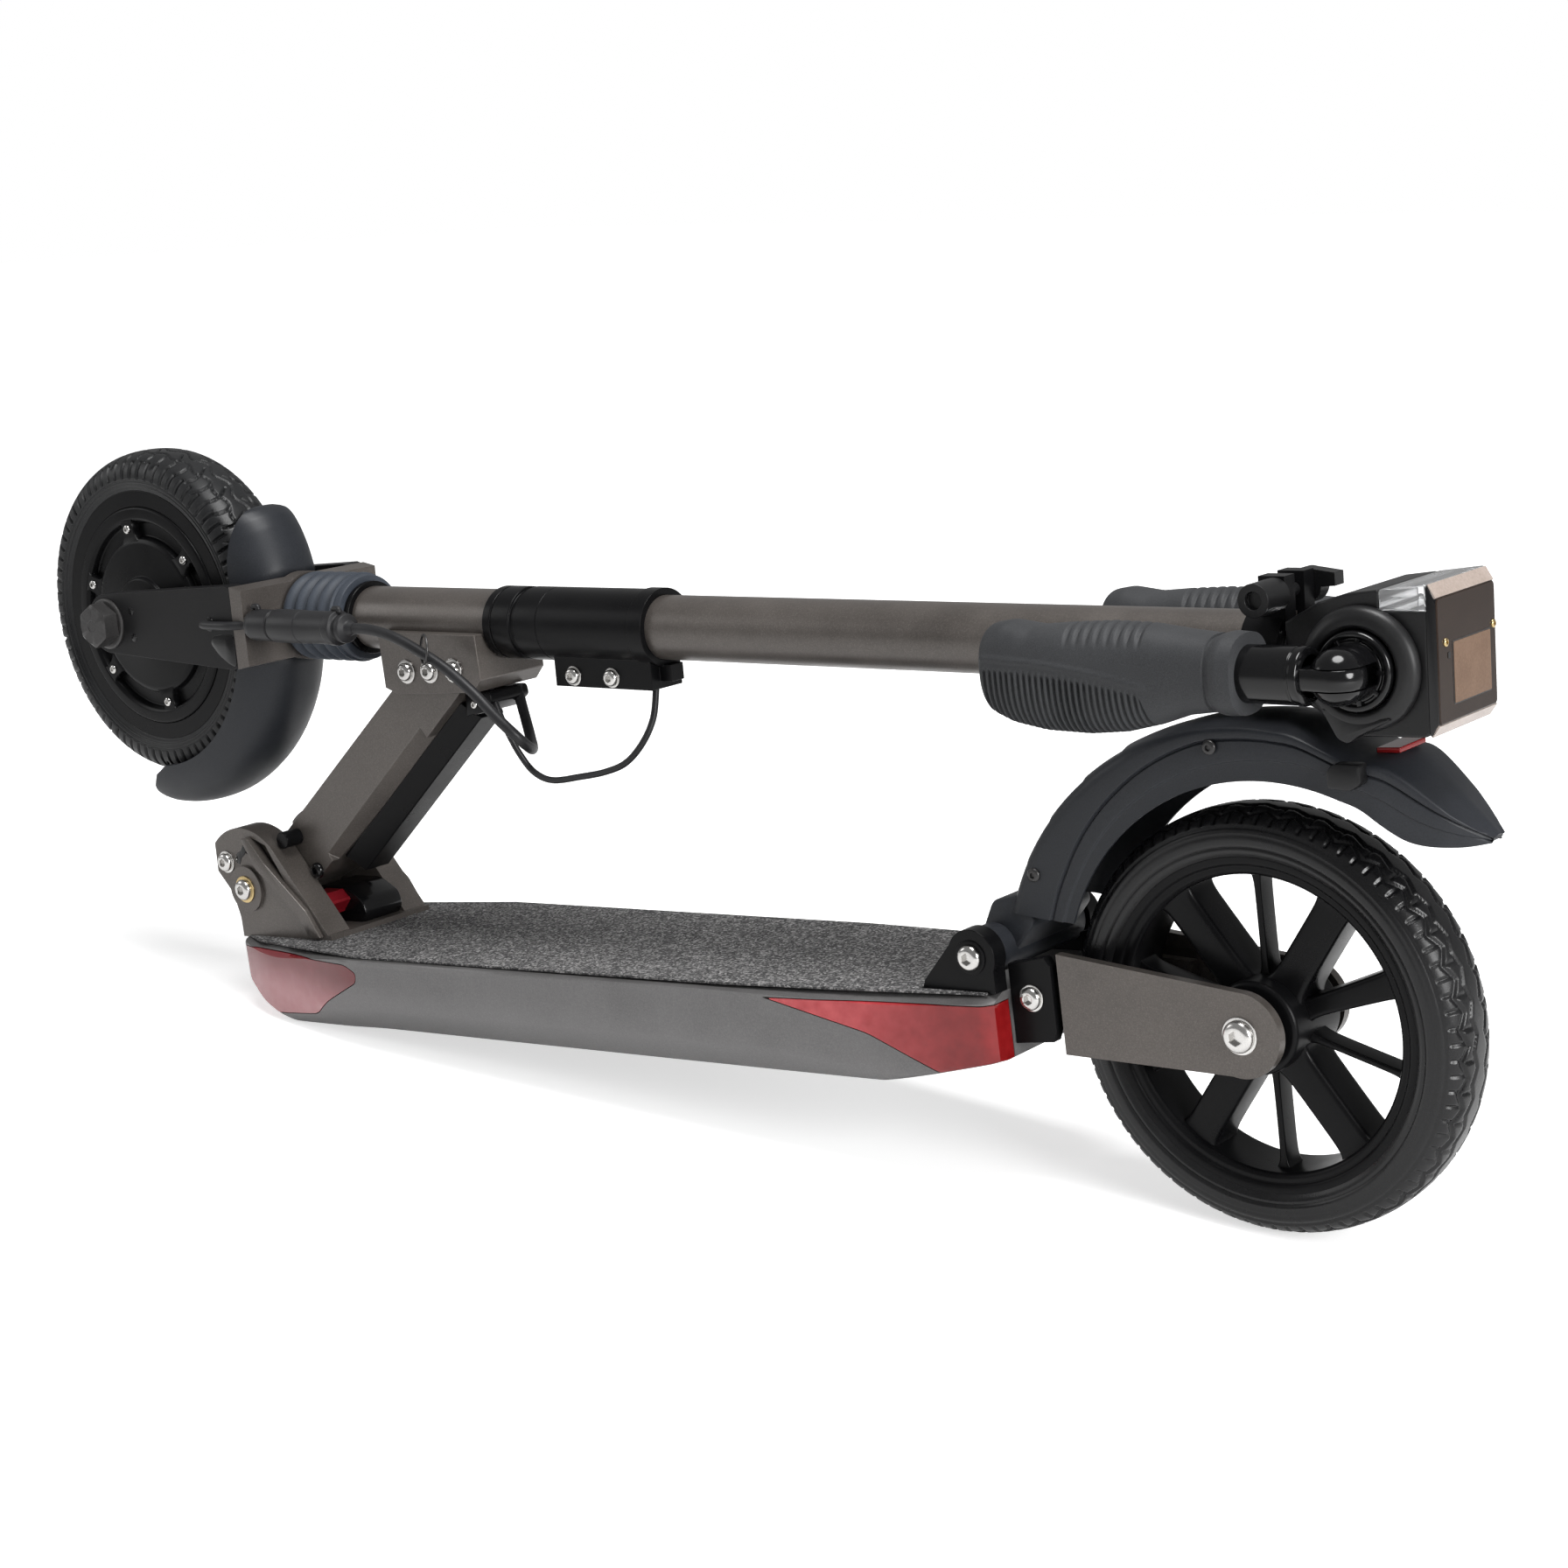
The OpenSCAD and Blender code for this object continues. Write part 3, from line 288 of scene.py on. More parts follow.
def finish(name, dark, light, rough, metal=0.0, broad=25.0, fine=900.0, mix=0.4, bump=0.1,
           depth=0.0002, coat=0.0, coat_rough=0.08, spec=0.5, flake=0.0, grit=0.0):
    """one material: two tones, a roughness range and a fine bump"""
    mat = bpy.data.materials.new(name)
    mat.use_nodes = True
    tree = mat.node_tree
    bsdf = tree.nodes["Principled BSDF"]
    where = tree.nodes.new("ShaderNodeTexCoord").outputs["Object"]
    g = tree.nodes.new("ShaderNodeGroup")
    g.node_tree = GRAIN
    tree.links.new(where, g.inputs["Vector"])
    g.inputs["Broad"].default_value = broad
    g.inputs["Fine"].default_value = fine
    g.inputs["Mix"].default_value = mix
    colour = tree.nodes.new("ShaderNodeMix")
    colour.data_type = "RGBA"
    colour.inputs["A"].default_value = (*dark, 1)
    colour.inputs["B"].default_value = (*light, 1)
    tone, height = g.outputs["Tone"], g.outputs["Height"]
    if flake or grit:
        f = tree.nodes.new("ShaderNodeGroup")
        f.node_tree = FLAKE if flake else GRIT
        tree.links.new(where, f.inputs["Vector"])
        glitter = f.outputs[0]
        amount = flake or grit
        tone = math_node(tree, "ADD", math_node(tree, "MULTIPLY", tone, 1 - amount),
                         math_node(tree, "MULTIPLY", glitter, amount), True)
        height = f.outputs["Height"]
    tree.links.new(tone, colour.inputs["Factor"])
    tree.links.new(colour.outputs["Result"], bsdf.inputs["Base Color"])
    span = tree.nodes.new("ShaderNodeMapRange")
    span.inputs["To Min"].default_value, span.inputs["To Max"].default_value = rough
    tree.links.new(g.outputs["Wear"], span.inputs["Value"])
    tree.links.new(span.outputs["Result"], bsdf.inputs["Roughness"])
    b = tree.nodes.new("ShaderNodeBump")
    b.inputs["Strength"].default_value = bump
    b.inputs["Distance"].default_value = depth
    tree.links.new(height, b.inputs["Height"])
    tree.links.new(b.outputs["Normal"], bsdf.inputs["Normal"])
    bsdf.inputs["Metallic"].default_value = metal
    bsdf.inputs["Coat Weight"].default_value = coat
    bsdf.inputs["Coat Roughness"].default_value = coat_rough
    bsdf.inputs["Specular IOR Level"].default_value = spec
    return mat


paint = finish("frame_paint", (0.068, 0.06, 0.0545), (0.144, 0.127, 0.115), (0.32, 0.44), metal=0.42,
               flake=0.45, bump=0.06, depth=0.0001, coat=0.1, coat_rough=0.25)
deck_paint = finish("deck_paint", (0.094, 0.0915, 0.0915), (0.182, 0.178, 0.178), (0.34, 0.48), metal=0.4,
                    flake=0.35, bump=0.05, depth=0.0001, coat=0.1, coat_rough=0.3)
satin_black = finish("satin_black", (0.0022, 0.0022, 0.0025), (0.006, 0.006, 0.0066), (0.26, 0.38),
                     fine=1500, spec=0.11)
leg_black = finish("leg_black", (0.006, 0.0058, 0.0063), (0.0135, 0.0132, 0.014), (0.34, 0.48),
                   fine=1500, spec=0.16)
gloss_black = finish("gloss_black", (0.002, 0.002, 0.0023), (0.005, 0.005, 0.0055), (0.1, 0.2),
                     fine=700, bump=0.03, spec=0.34)
steel = finish("bright_steel", (0.46, 0.45, 0.44), (0.66, 0.65, 0.63), (0.14, 0.26), metal=1.0,
               fine=1800, bump=0.03)
brass = finish("plated_washer", (0.42, 0.31, 0.14), (0.62, 0.48, 0.25), (0.22, 0.34), metal=1.0,
               bump=0.03)
dark_steel = finish("dark_steel", (0.03, 0.029, 0.03), (0.065, 0.063, 0.062), (0.3, 0.44), metal=0.6,
                    bump=0.08)
bright_tube = finish("bright_tube", (0.52, 0.52, 0.53), (0.7, 0.7, 0.71), (0.12, 0.24), metal=1.0,
                     bump=0.02)
grip_rubber = finish("grip_rubber", (0.02, 0.0207, 0.0225), (0.05, 0.0517, 0.055), (0.5, 0.66), fine=2200,
                     mix=0.6, bump=0.25, spec=0.25)
bellows_rubber = finish("bellows_rubber", (0.024, 0.029, 0.038), (0.055, 0.065, 0.082), (0.5, 0.66),
                        fine=1400, bump=0.12, spec=0.3)
cable_rubber = finish("cable_rubber", (0.008, 0.008, 0.0088), (0.02, 0.02, 0.0216), (0.36, 0.5),
                      fine=1600, bump=0.1, spec=0.28)
tyre_rubber = finish("tyre_rubber", (0.0035, 0.0035, 0.0039), (0.0115, 0.0115, 0.0122), (0.22, 0.38),
                     fine=1300, mix=0.5, bump=0.2, spec=0.3)
front_rubber = finish("front_tyre_rubber", (0.0055, 0.0057, 0.0063), (0.0165, 0.017, 0.018),
                      (0.36, 0.52), fine=1300, mix=0.5, bump=0.2, spec=0.28)
slate = finish("slate_plastic", (0.0095, 0.0106, 0.0132), (0.0215, 0.0236, 0.0285), (0.38, 0.52),
               fine=1700, mix=0.55, bump=0.14, spec=0.3)
black_plastic = finish("black_plastic", (0.003, 0.003, 0.0034), (0.0085, 0.0085, 0.009), (0.3, 0.44),
                       fine=1700, mix=0.55, bump=0.12, spec=0.3)
red_plastic = finish("red_plastic", (0.1, 0.002, 0.006), (0.2, 0.006, 0.012), (0.3, 0.42), fine=1200,
                     bump=0.05, spec=0.3)
red_lens = finish("red_lens", (0.34, 0.02, 0.026), (0.6, 0.09, 0.1), (0.08, 0.14), broad=42, fine=160,
                  bump=0.04, spec=0.45)
# the front lens: its own deep red, mottled with a pink that is a painted reflection
front_lens_red_and_painted_reflection = finish("front_lens_red_and_painted_reflection", (0.32, 0.07, 0.08), (0.52, 0.25, 0.265), (0.08, 0.16), broad=18,
                   fine=120, mix=0.15, bump=0.03, spec=0.5)
# the display's sloped rims: a light tan that is painted reflection
display_facet_painted_reflection = finish("display_facet_painted_reflection", (0.25, 0.2, 0.17), (0.39, 0.33, 0.295), (0.12, 0.25), broad=40,
                      bump=0.02, spec=0.5)
grip_sheet = finish("grip_sheet", (0.016, 0.016, 0.0168), (0.36, 0.354, 0.352), (0.72, 0.86), grit=0.85,
                    bump=0.55, depth=0.0006, spec=0.2)
# the display's face: glossy black, with a brown tint that is painted reflection
display_black_and_painted_reflection = finish("display_black_and_painted_reflection", (0.016, 0.01, 0.0078), (0.032, 0.022, 0.017), (0.06, 0.12),
                       bump=0.01, spec=0.14)
screen = finish("smoked_screen", (0.11, 0.063, 0.038), (0.17, 0.105, 0.068), (0.1, 0.18), broad=60,
                bump=0.02, spec=0.2)
battery_wrap = finish("battery_wrap", (0.04, 0.09, 0.24), (0.07, 0.14, 0.34), (0.3, 0.4))
case_metal = finish("controller_case", (0.38, 0.39, 0.41), (0.54, 0.55, 0.57), (0.35, 0.5), metal=0.9)
copper = finish("copper_windings", (0.42, 0.19, 0.07), (0.6, 0.3, 0.13), (0.3, 0.45), metal=0.9,
                broad=200)
print("finishes:", len(bpy.data.materials))

# %% [markdown]
# The headlight is clear plastic. Its transmission stays a plain number on the shader, so the
# export keeps it; only its faint ripple comes from the grain. The front lens is deep red, and
# its pink is a painted reflection, which a shade multiplied in along the upright axis takes
# away towards its top. The rear lenses get darker towards the tail by the same kind of shade
# along one axis. This gives both without the noise of real glass.

# %% Lenses


def clear_plastic():
    mat = finish("clear_lens", (0.9, 0.92, 0.93), (0.98, 0.98, 0.99), (0.02, 0.06), broad=30,
                 fine=240, bump=0.05)
    bsdf = mat.node_tree.nodes["Principled BSDF"]
    bsdf.inputs["Transmission Weight"].default_value = 0.85
    bsdf.inputs["IOR"].default_value = 1.45
    return mat


def graded(mat, axis, start, end, shade):
    """darken the colour smoothly along one axis, between two places"""
    tree = mat.node_tree
    bsdf = tree.nodes["Principled BSDF"]
    colour = bsdf.inputs["Base Color"].links[0].from_socket
    place = tree.nodes.new("ShaderNodeTexCoord").outputs["Object"]
    split = tree.nodes.new("ShaderNodeSeparateXYZ")
    tree.links.new(place, split.inputs[0])
    span = tree.nodes.new("ShaderNodeMapRange")
    span.interpolation_type = "SMOOTHSTEP"
    span.inputs["From Min"].default_value, span.inputs["From Max"].default_value = start, end
    tree.links.new(split.outputs[axis], span.inputs["Value"])
    mix = tree.nodes.new("ShaderNodeMix")
    mix.data_type, mix.blend_type = "RGBA", "MULTIPLY"
    tree.links.new(span.outputs["Result"], mix.inputs["Factor"])
    tree.links.new(colour, mix.inputs["A"])
    mix.inputs["B"].default_value = (*shade, 1)
    tree.links.new(mix.outputs["Result"], bsdf.inputs["Base Color"])


clear_lens = clear_plastic()
# painted reflection: the front lens stays pink low down and turns to its own red at its top
graded(front_lens_red_and_painted_reflection, "Z", 0.018, 0.044, (0.36, 0.06, 0.08))
graded(red_lens, "X", 0.16, 0.25, (0.42, 0.12, 0.12))
print("lenses ready")

# %% [markdown]
# ## Tools for shapes
# `skin` joins rings of points to a closed surface, `soft` rounds the corners of a drawn
# line, `turned` spins a line about an axis, `tube` thickens a path that `curve_points`
# has smoothed, and `make` turns points into a piece. `settle` says which body it rides on
# and what it replaces. `eased` copies a construction solid and rounds its sharp edges.

# %% Shape tools


def settle(ob, body, nodes=()):
    """say which body a piece rides on, which nodes it replaces"""
    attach(ob, body)
    if nodes:
        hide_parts(*nodes)
    return ob


def make(name, points, faces, mat, at=DECK, sharp=40.0):
    """a smooth-shaded piece from points in millimetres of a drawing frame"""
    me = bpy.data.meshes.new(name)
    me.from_pydata(placed(points, at).tolist(), [], faces)
    bm = bmesh.new()
    bm.from_mesh(me)
    bmesh.ops.remove_doubles(bm, verts=bm.verts, dist=2e-6)
    bmesh.ops.recalc_face_normals(bm, faces=bm.faces)
    bm.to_mesh(me)
    bm.free()
    me.shade_smooth()
    me.set_sharp_from_angle(angle=math.radians(sharp))
    me.materials.append(mat)
    ob = bpy.data.objects.new(name, me)
    scene.collection.objects.link(ob)
    return ob


def refinish(data, mat):
    """give a mesh one finish and no other"""
    data.materials.clear()
    data.materials.append(mat)


def skin(rings, loop=False):
    """join rings of points to a surface, closed by end caps or into a loop"""
    rings = np.asarray(rings, float)
    n, m = rings.shape[:2]
    idx = np.arange(n * m).reshape(n, m)
    nxt = np.roll(idx, -1, axis=1)
    rows = range(n) if loop else range(n - 1)
    faces = []
    for i in rows:
        j = (i + 1) % n
        faces += np.stack([idx[i], nxt[i], nxt[j], idx[j]], 1).tolist()
    if not loop:
        faces += [idx[0][::-1].tolist(), idx[-1].tolist()]
    return rings.reshape(-1, 3), faces


def soft(points, r=1.0, steps=4, closed=False):
    """round a line's corners; a point's third number is how far its own rounding reaches"""
    pts = [np.array(p[:2], float) for p in points]
    out = []
    for k, p in enumerate(pts):
        if not closed and k in (0, len(pts) - 1):
            out.append(p)
            continue
        a, b = pts[k - 1], pts[(k + 1) % len(pts)]
        want = points[k][2] if len(points[k]) > 2 else r
        da, db = np.linalg.norm(a - p), np.linalg.norm(b - p)
        w = min(want, 0.48 * da, 0.48 * db)
        p0, p1 = p + (a - p) / da * w, p + (b - p) / db * w
        for t in np.linspace(0, 1, steps + 1):
            out.append((1 - t) ** 2 * p0 + 2 * t * (1 - t) * p + t * t * p1)
    return np.array(out)


def turned(line, axis="y", n=96, closed=True, centre=(0, 0, 0)):
    """spin a line of (radius, height) about an axis; an open line gets end caps"""
    a = np.linspace(0, 2 * math.pi, n, endpoint=False)
    r, h = line[:, 0], line[:, 1]
    c, s = np.cos(a)[:, None] * r, np.sin(a)[:, None] * r
    along = np.broadcast_to(h, c.shape)
    ring = np.stack([c, along, s] if axis == "y" else [along, c, s], 2) + np.array(centre)
    if closed:
        return skin(ring, loop=True)
    m = len(line)
    idx = np.arange(n * m).reshape(n, m)
    faces = []
    for i, j in zip(idx, np.roll(idx, -1, axis=0)):
        faces += np.stack([i[:-1], i[1:], j[1:], j[:-1]], 1).tolist()
    return ring.reshape(-1, 3), faces + [idx[:, 0].tolist(), idx[::-1, -1].tolist()]


def curve_points(points, steps):
    """a smooth curve through the points, cut into steps between each two"""
    p = np.asarray(points, float)
    out = []
    for i in range(len(p) - 1):
        a, b, c, d = p[max(i - 1, 0)], p[i], p[i + 1], p[min(i + 2, len(p) - 1)]
        for u in np.linspace(0, 1, steps, endpoint=False):
            out.append(0.5 * (2 * b + u * (c - a) + u * u * (2 * a - 5 * b + 4 * c - d)
                              + u ** 3 * (3 * b - a - 3 * c + d)))
    out.append(p[-1])
    return np.array(out)


def run_of(line):
    """how far along a line each of its points lies"""
    return np.concatenate([[0], np.cumsum(np.linalg.norm(np.diff(line, axis=0), axis=1))])


def resampled(points, n, steps):
    """a smooth line through the points in equal steps, and how far along each lies"""
    flat = np.column_stack([np.array(points, float), np.zeros(len(points))])
    p = curve_points(flat, steps)[:, :2]
    run = run_of(p)
    want = np.linspace(0, run[-1], n)
    return np.stack([np.interp(want, run, p[:, 0]), np.interp(want, run, p[:, 1])], 1), want


def tube(path, radius, n=16, aim=(0, 1, 0.2)):
    """a round tube along a path"""
    path = np.asarray(path, float)
    t = np.gradient(path, axis=0)
    t /= np.linalg.norm(t, axis=1)[:, None]
    u = np.cross(t, np.array(aim, float))
    u /= np.linalg.norm(u, axis=1)[:, None]
    v = np.cross(t, u)
    a = np.linspace(0, 2 * math.pi, n, endpoint=False)
    r = np.broadcast_to(radius, len(path))[:, None, None]
    spread = np.cos(a)[None, :, None] * u[:, None] + np.sin(a)[None, :, None] * v[:, None]
    return skin(path[:, None] + r * spread)


def baked(ob):
    """turn a piece and its modifiers into a plain mesh"""
    deps = bpy.context.evaluated_depsgraph_get()
    me = bpy.data.meshes.new_from_object(ob.evaluated_get(deps))
    old = ob.data
    ob.modifiers.clear()
    ob.data = me
    if old.users == 0:
        bpy.data.meshes.remove(old)
    return ob


def plain_copy(node, name):
    """a merged copy of a construction node, without its own normals"""
    ob = bpy.data.objects.new(name, frame["nodes"][node].data.copy())
    scene.collection.objects.link(ob)
    bm = bmesh.new()
    bm.from_mesh(ob.data)
    bmesh.ops.remove_doubles(bm, verts=bm.verts, dist=2e-6)
    bmesh.ops.dissolve_limit(bm, angle_limit=math.radians(0.5), verts=bm.verts, edges=bm.edges)
    bm.to_mesh(ob.data)
    bm.free()
    for extra in ("custom_normal", "sharp_edge", "sharp_face"):
        if extra in ob.data.attributes:
            ob.data.attributes.remove(ob.data.attributes[extra])
    ob.data.shade_smooth()
    return ob


def eased(node, width, mat, segments=3, limit=32):
    """a construction node with its sharp edges rounded, standing in for it"""
    ob = plain_copy(node, node + "_eased")
    b = ob.modifiers.new("ease", "BEVEL")
    b.width, b.segments = width * MM, segments
    b.limit_method, b.angle_limit = "ANGLE", math.radians(limit)
    w = ob.modifiers.new("normals", "WEIGHTED_NORMAL")
    w.keep_sharp = True
    baked(ob)
    refinish(ob.data, mat)
    body = frame["nodes"][node]["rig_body"]
    return settle(ob, body, [node])


print("shape tools ready")

# %% [markdown]
# ## Cords first
# Two leads hang between the arm and the steering parts: the thick motor lead with its
# plug, and a thin signal lead to the sleeve. A bevelled curve could make them; here each is
# a tube through the points that it really passes.

# %% Motor lead and signal lead
motor_points = [(137, -48, 185.5), (151, -47, 184.5), (167, -45, 180), (185, -43, 171), (203, -41, 160),
                (221, -40, 146), (233, -38, 133), (242, -33, 121), (241, -24, 113.5), (231, -12, 111),
                (219, -1, 115), (210, 6, 124), (205, 9, 134), (203, 10, 143)]
signal_points = [(199.6, -7.6, 143.5), (206, -11, 135), (216, -15, 121), (227, -18, 108),
                 (238, -20, 99), (252, -21, 95), (273, -21, 97), (293, -21, 100), (308, -20, 105),
                 (318, -16, 115), (322, -10, 127), (322, -5, 141.4)]


def lead(name, points, radius, node, arm_first):
    """a cord between the arm and the steering parts"""
    path = curve_points(points, 10) + np.array([FOLD_X, 0, 0])
    ob = make(name, *tube(path, radius), cable_rubber)
    line = placed(path, DECK)
    if not arm_first:
        line = line[::-1]
    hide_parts(node)
    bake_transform(ob)


lead("motor_lead", motor_points, 3.0, "motor_cable", arm_first=False)
lead("signal_lead", signal_points, 1.8, "signal_cable", arm_first=True)

# %% [markdown]
# The motor plug is a rubber body in two halves with a short boot at each end. It is round,
# so it is turned from its outline instead of being built up from cylinders. A short lead
# comes out of the fork leg and runs past the crown into it, and two catches lock it.

# %% Motor plug
PLUG_Y, PLUG_H = -48, 2
plug_line = soft([(2.6, 124), (4.4, 126), (4.6, 130.5, 0.5), (8.4, 132, 1.2), (9.1, 136, 1),
                  (9.1, 151, 0.3), (8.2, 151.5, 0.3), (8.2, 153, 0.3), (9.6, 153.5, 0.4),
                  (9.6, 176, 0.3), (9.3, 176.5, 0.3), (9.3, 200, 0.4), (9.9, 200.6, 0.4),
                  (9.9, 206, 0.6), (7.6, 207, 0.6), (7.6, 209, 0.4), (8.2, 209.6, 0.4),
                  (8.2, 212.6, 0.8), (4.4, 214, 0.8), (3.0, 218)], 0.6, 3)
pts, faces = turned(plug_line, "x", 48, closed=False, centre=(0, PLUG_Y, PLUG_H))
plug = make("motor_plug_body", pts, faces, cable_rubber, STEM)
settle(plug, "fork", ["motor_plug"])
stub = curve_points([(94, -54.7, 2), (98, -55.7, 2), (106, -56, 2), (118, -55.4, 2), (125, -51.5, 2),
                     (131, -48.4, 2)], 8)
stub_lead = make("plug_lead", *tube(stub, 2.6, 12, (0, 0, 1)), cable_rubber, STEM)
settle(stub_lead, "fork", ["motor_plug"])
for k, (start, end) in enumerate(((133, 137.5), (202, 207))):
    nub = curve_points([(start, PLUG_Y, 11), (start + 0.6, PLUG_Y, 12.6), (end - 0.6, PLUG_Y, 12.6),
                        (end, PLUG_Y, 11)], 4)
    catch = make("plug_catch_%d" % k, *tube(nub, 1.7, 10), cable_rubber, STEM)
    settle(catch, "fork", ["motor_plug"])
print("plug and its short lead made")

# %% [markdown]
# ## Deck
# The real deck is an extruded shell with soft edges and a boat-like nose. A bevelled box
# would miss its taper, so it is lofted from cross-sections: the plan gives the half-width,
# the side view the depth, and a third table how the wall leans in below.

# %% Deck loft
NOSE, TAIL = -682.0, -122.0
LONG = TAIL - NOSE
PLAN = ([0, 24, 127, 402, 492, LONG], [43, 52, 70, 66, 59, 52])
DEPTH = ([0, 5, 22, 40, 52, 492, LONG], [12, 24, 36, 43, 47, 47, 33])
LEAN = ([0, 15, 31, 47], [72, 72, 64, 52])
NOSE_ROUND, TAIL_ROUND, TAIL_TUCK, LEAN_BLEND = 8, 7, 4, 2.2


def smooth_through(x, xs, ys, blur=14.0):
    """a table read at x, with its corners blurred"""
    xx = np.linspace(xs[0], xs[-1], 600)
    yy = np.interp(xx, xs, ys)
    step = xx[1] - xx[0]
    k = max(3, int(blur / step) | 1)
    pad = np.concatenate([2 * yy[0] - yy[k:0:-1], yy, 2 * yy[-1] - yy[-2:-k - 2:-1]])
    w = np.hanning(k + 2)[1:-1]
    ss = np.convolve(pad, w / w.sum(), "same")[k:-k]
    return np.interp(x, xx, ss)


def half_width(d):
    """half the deck's width at a distance from its nose"""
    nose = NOSE_ROUND * (1 - np.sqrt(1 - np.clip(1 - d / NOSE_ROUND, 0, 1) ** 2))
    tail = TAIL_TUCK * np.clip((d - LONG + TAIL_ROUND) / TAIL_ROUND, 0, 1) ** 2
    return smooth_through(d, *PLAN, 60) - nose - tail


def deck_section(d):
    """one closed ring round the deck"""
    w, b = float(half_width(d)), float(smooth_through(d, *DEPTH, 10))
    wall = []
    for z in np.linspace(-3, -b, 26):
        lean = np.interp(-z, *LEAN)
        soft_min = math.log(math.exp(-w / LEAN_BLEND) + math.exp(-lean / LEAN_BLEND))
        wall.append((-soft_min * LEAN_BLEND, z))
    top = [(0, 0), (w - 1.6, 0, 1.4), (w, -1.6, 1.4)]
    line = soft(top + wall[:-1] + [(wall[-1][0] - 5.0, -b, 6), (0, -b)], 2.0, 3)
    run = run_of(line)
    shares = [np.linspace(0, 0.4, 6)[:-1], np.linspace(0.4, 0.68, 44), np.linspace(0.68, 1, 6)[1:]]
    keep = np.concatenate(shares) * run[-1]
    y, z = np.interp(keep, run, line[:, 0]), np.interp(keep, run, line[:, 1])
    left = np.stack([np.full_like(y, NOSE + d), -y, z], 1)
    return np.concatenate([left, left[-2:0:-1] * [1, -1, 1]])


stations = np.concatenate([np.linspace(0, 60, 40), np.linspace(64, 540, 60), np.linspace(544, LONG, 10)])
deck_points, deck_faces = skin([deck_section(d) for d in stations])
print("deck loft:", len(deck_faces), "faces")

# %% [markdown]
# The red lenses lie flush in the shell: one wraps the nose, one sits at each rear corner.
# They could be drawn as separate strips, but then they would never match the curve. A
# boolean takes each window out of the loft, and a slightly smaller window cuts the same
# loft again to make the lens, so both follow one surface with a fine gap between.

# %% Deck shell and lenses
OUTSIDE, REAR_INNER, LENS_GAP, WINDOW_ROUND = 90, 36, 0.5, 4


def prism(name, outline, y0, y1):
    """a straight block across the deck, with a rounded outline"""
    line = soft(outline, WINDOW_ROUND, 4, True)
    rings = [np.stack([line[:, 0], np.full(len(line), y), line[:, 1]], 1) for y in (y0, y1)]
    return make(name, *skin(rings), paint)


def shrunk(outline, by):
    """an outline moved inwards all round"""
    p = np.array(outline, float)
    area = np.sum(p[:, 0] * np.roll(p[:, 1], -1) - np.roll(p[:, 0], -1) * p[:, 1])

    def inward(e):
        return np.stack([-e[:, 1], e[:, 0]], 1) / np.linalg.norm(e, axis=1)[:, None] * np.sign(area)

    before, after = inward(p - np.roll(p, 1, 0)), inward(np.roll(p, -1, 0) - p)
    b = before + after
    b /= np.linalg.norm(b, axis=1)[:, None]
    return p + b * by / np.sum(b * before, 1)[:, None]


def cut(ob, tool, how):
    """a boolean with a tool that is then thrown away"""
    m = ob.modifiers.new("cut", "BOOLEAN")
    m.object, m.operation, m.solver = tool, how, "EXACT"
    baked(ob)
    bpy.data.objects.remove(tool)


front_window = np.array([(-9, -3), (121, -3.5), (131, -8), (130, -14), (97, -28), (80, -38), (42, -41),
                         (-9, -41)]) + [NOSE, 0]
rear_window = np.array([(-132, -4.2), (6, -4.2), (6, -41), (-26, -41), (-70, -20.2)]) + [TAIL, 0]
deck = make("deck_shell_loft", deck_points, deck_faces, deck_paint, sharp=50)
dressed = [(deck, "deck_shell", deck_paint, "frame_paint")]
for label, window, y0, y1, node, mat in (
    ("front_lens_wrap", front_window, -OUTSIDE, OUTSIDE, "front_lens", front_lens_red_and_painted_reflection),
    ("rear_lens_left", rear_window, -OUTSIDE, -REAR_INNER, "rear_lenses", red_lens),
    ("rear_lens_right", rear_window, REAR_INNER, OUTSIDE, "rear_lenses", red_lens),
):
    cut(deck, prism("tool_" + label, window, y0, y1), "DIFFERENCE")
    lens = make(label, deck_points, deck_faces, mat, sharp=50)
    low = y0 if y0 == -OUTSIDE else y0 + LENS_GAP
    high = y1 if y1 == OUTSIDE else y1 - LENS_GAP
    cut(lens, prism("tool_in", shrunk(window, LENS_GAP), low, high), "INTERSECT")
    dressed.append((lens, node, mat, "red_lens"))
for ob, node, mat, slot in dressed:
    ob.data.shade_smooth()
    ob.data.set_sharp_from_angle(angle=math.radians(35))
    refinish(ob.data, mat)
    settle(ob, "frame", [node])
print("deck:", len(deck.data.polygons), "faces, lenses:", len(dressed) - 1)

# %% [markdown]
# The grip sheet, the battery, the controller and the other plain nodes keep their
# construction shape and only take a finish. They are flat or hidden inside, so a finer
# shape would not show.

# %% Plain nodes
for node, mat in (("grip_tape", grip_sheet), ("battery_pack", battery_wrap), ("controller", case_metal),
                  ("motor_stator", copper), ("rear_bearings", steel)):
    refinish(frame["nodes"][node].data, mat)
print("plain nodes finished")

# %% [markdown]
# ## Hard parts with eased edges
# Castings and tubes are right as drawn, but a real edge is never razor sharp: it is
# rounded and catches a line of light. A bevel on a merged copy gives that.

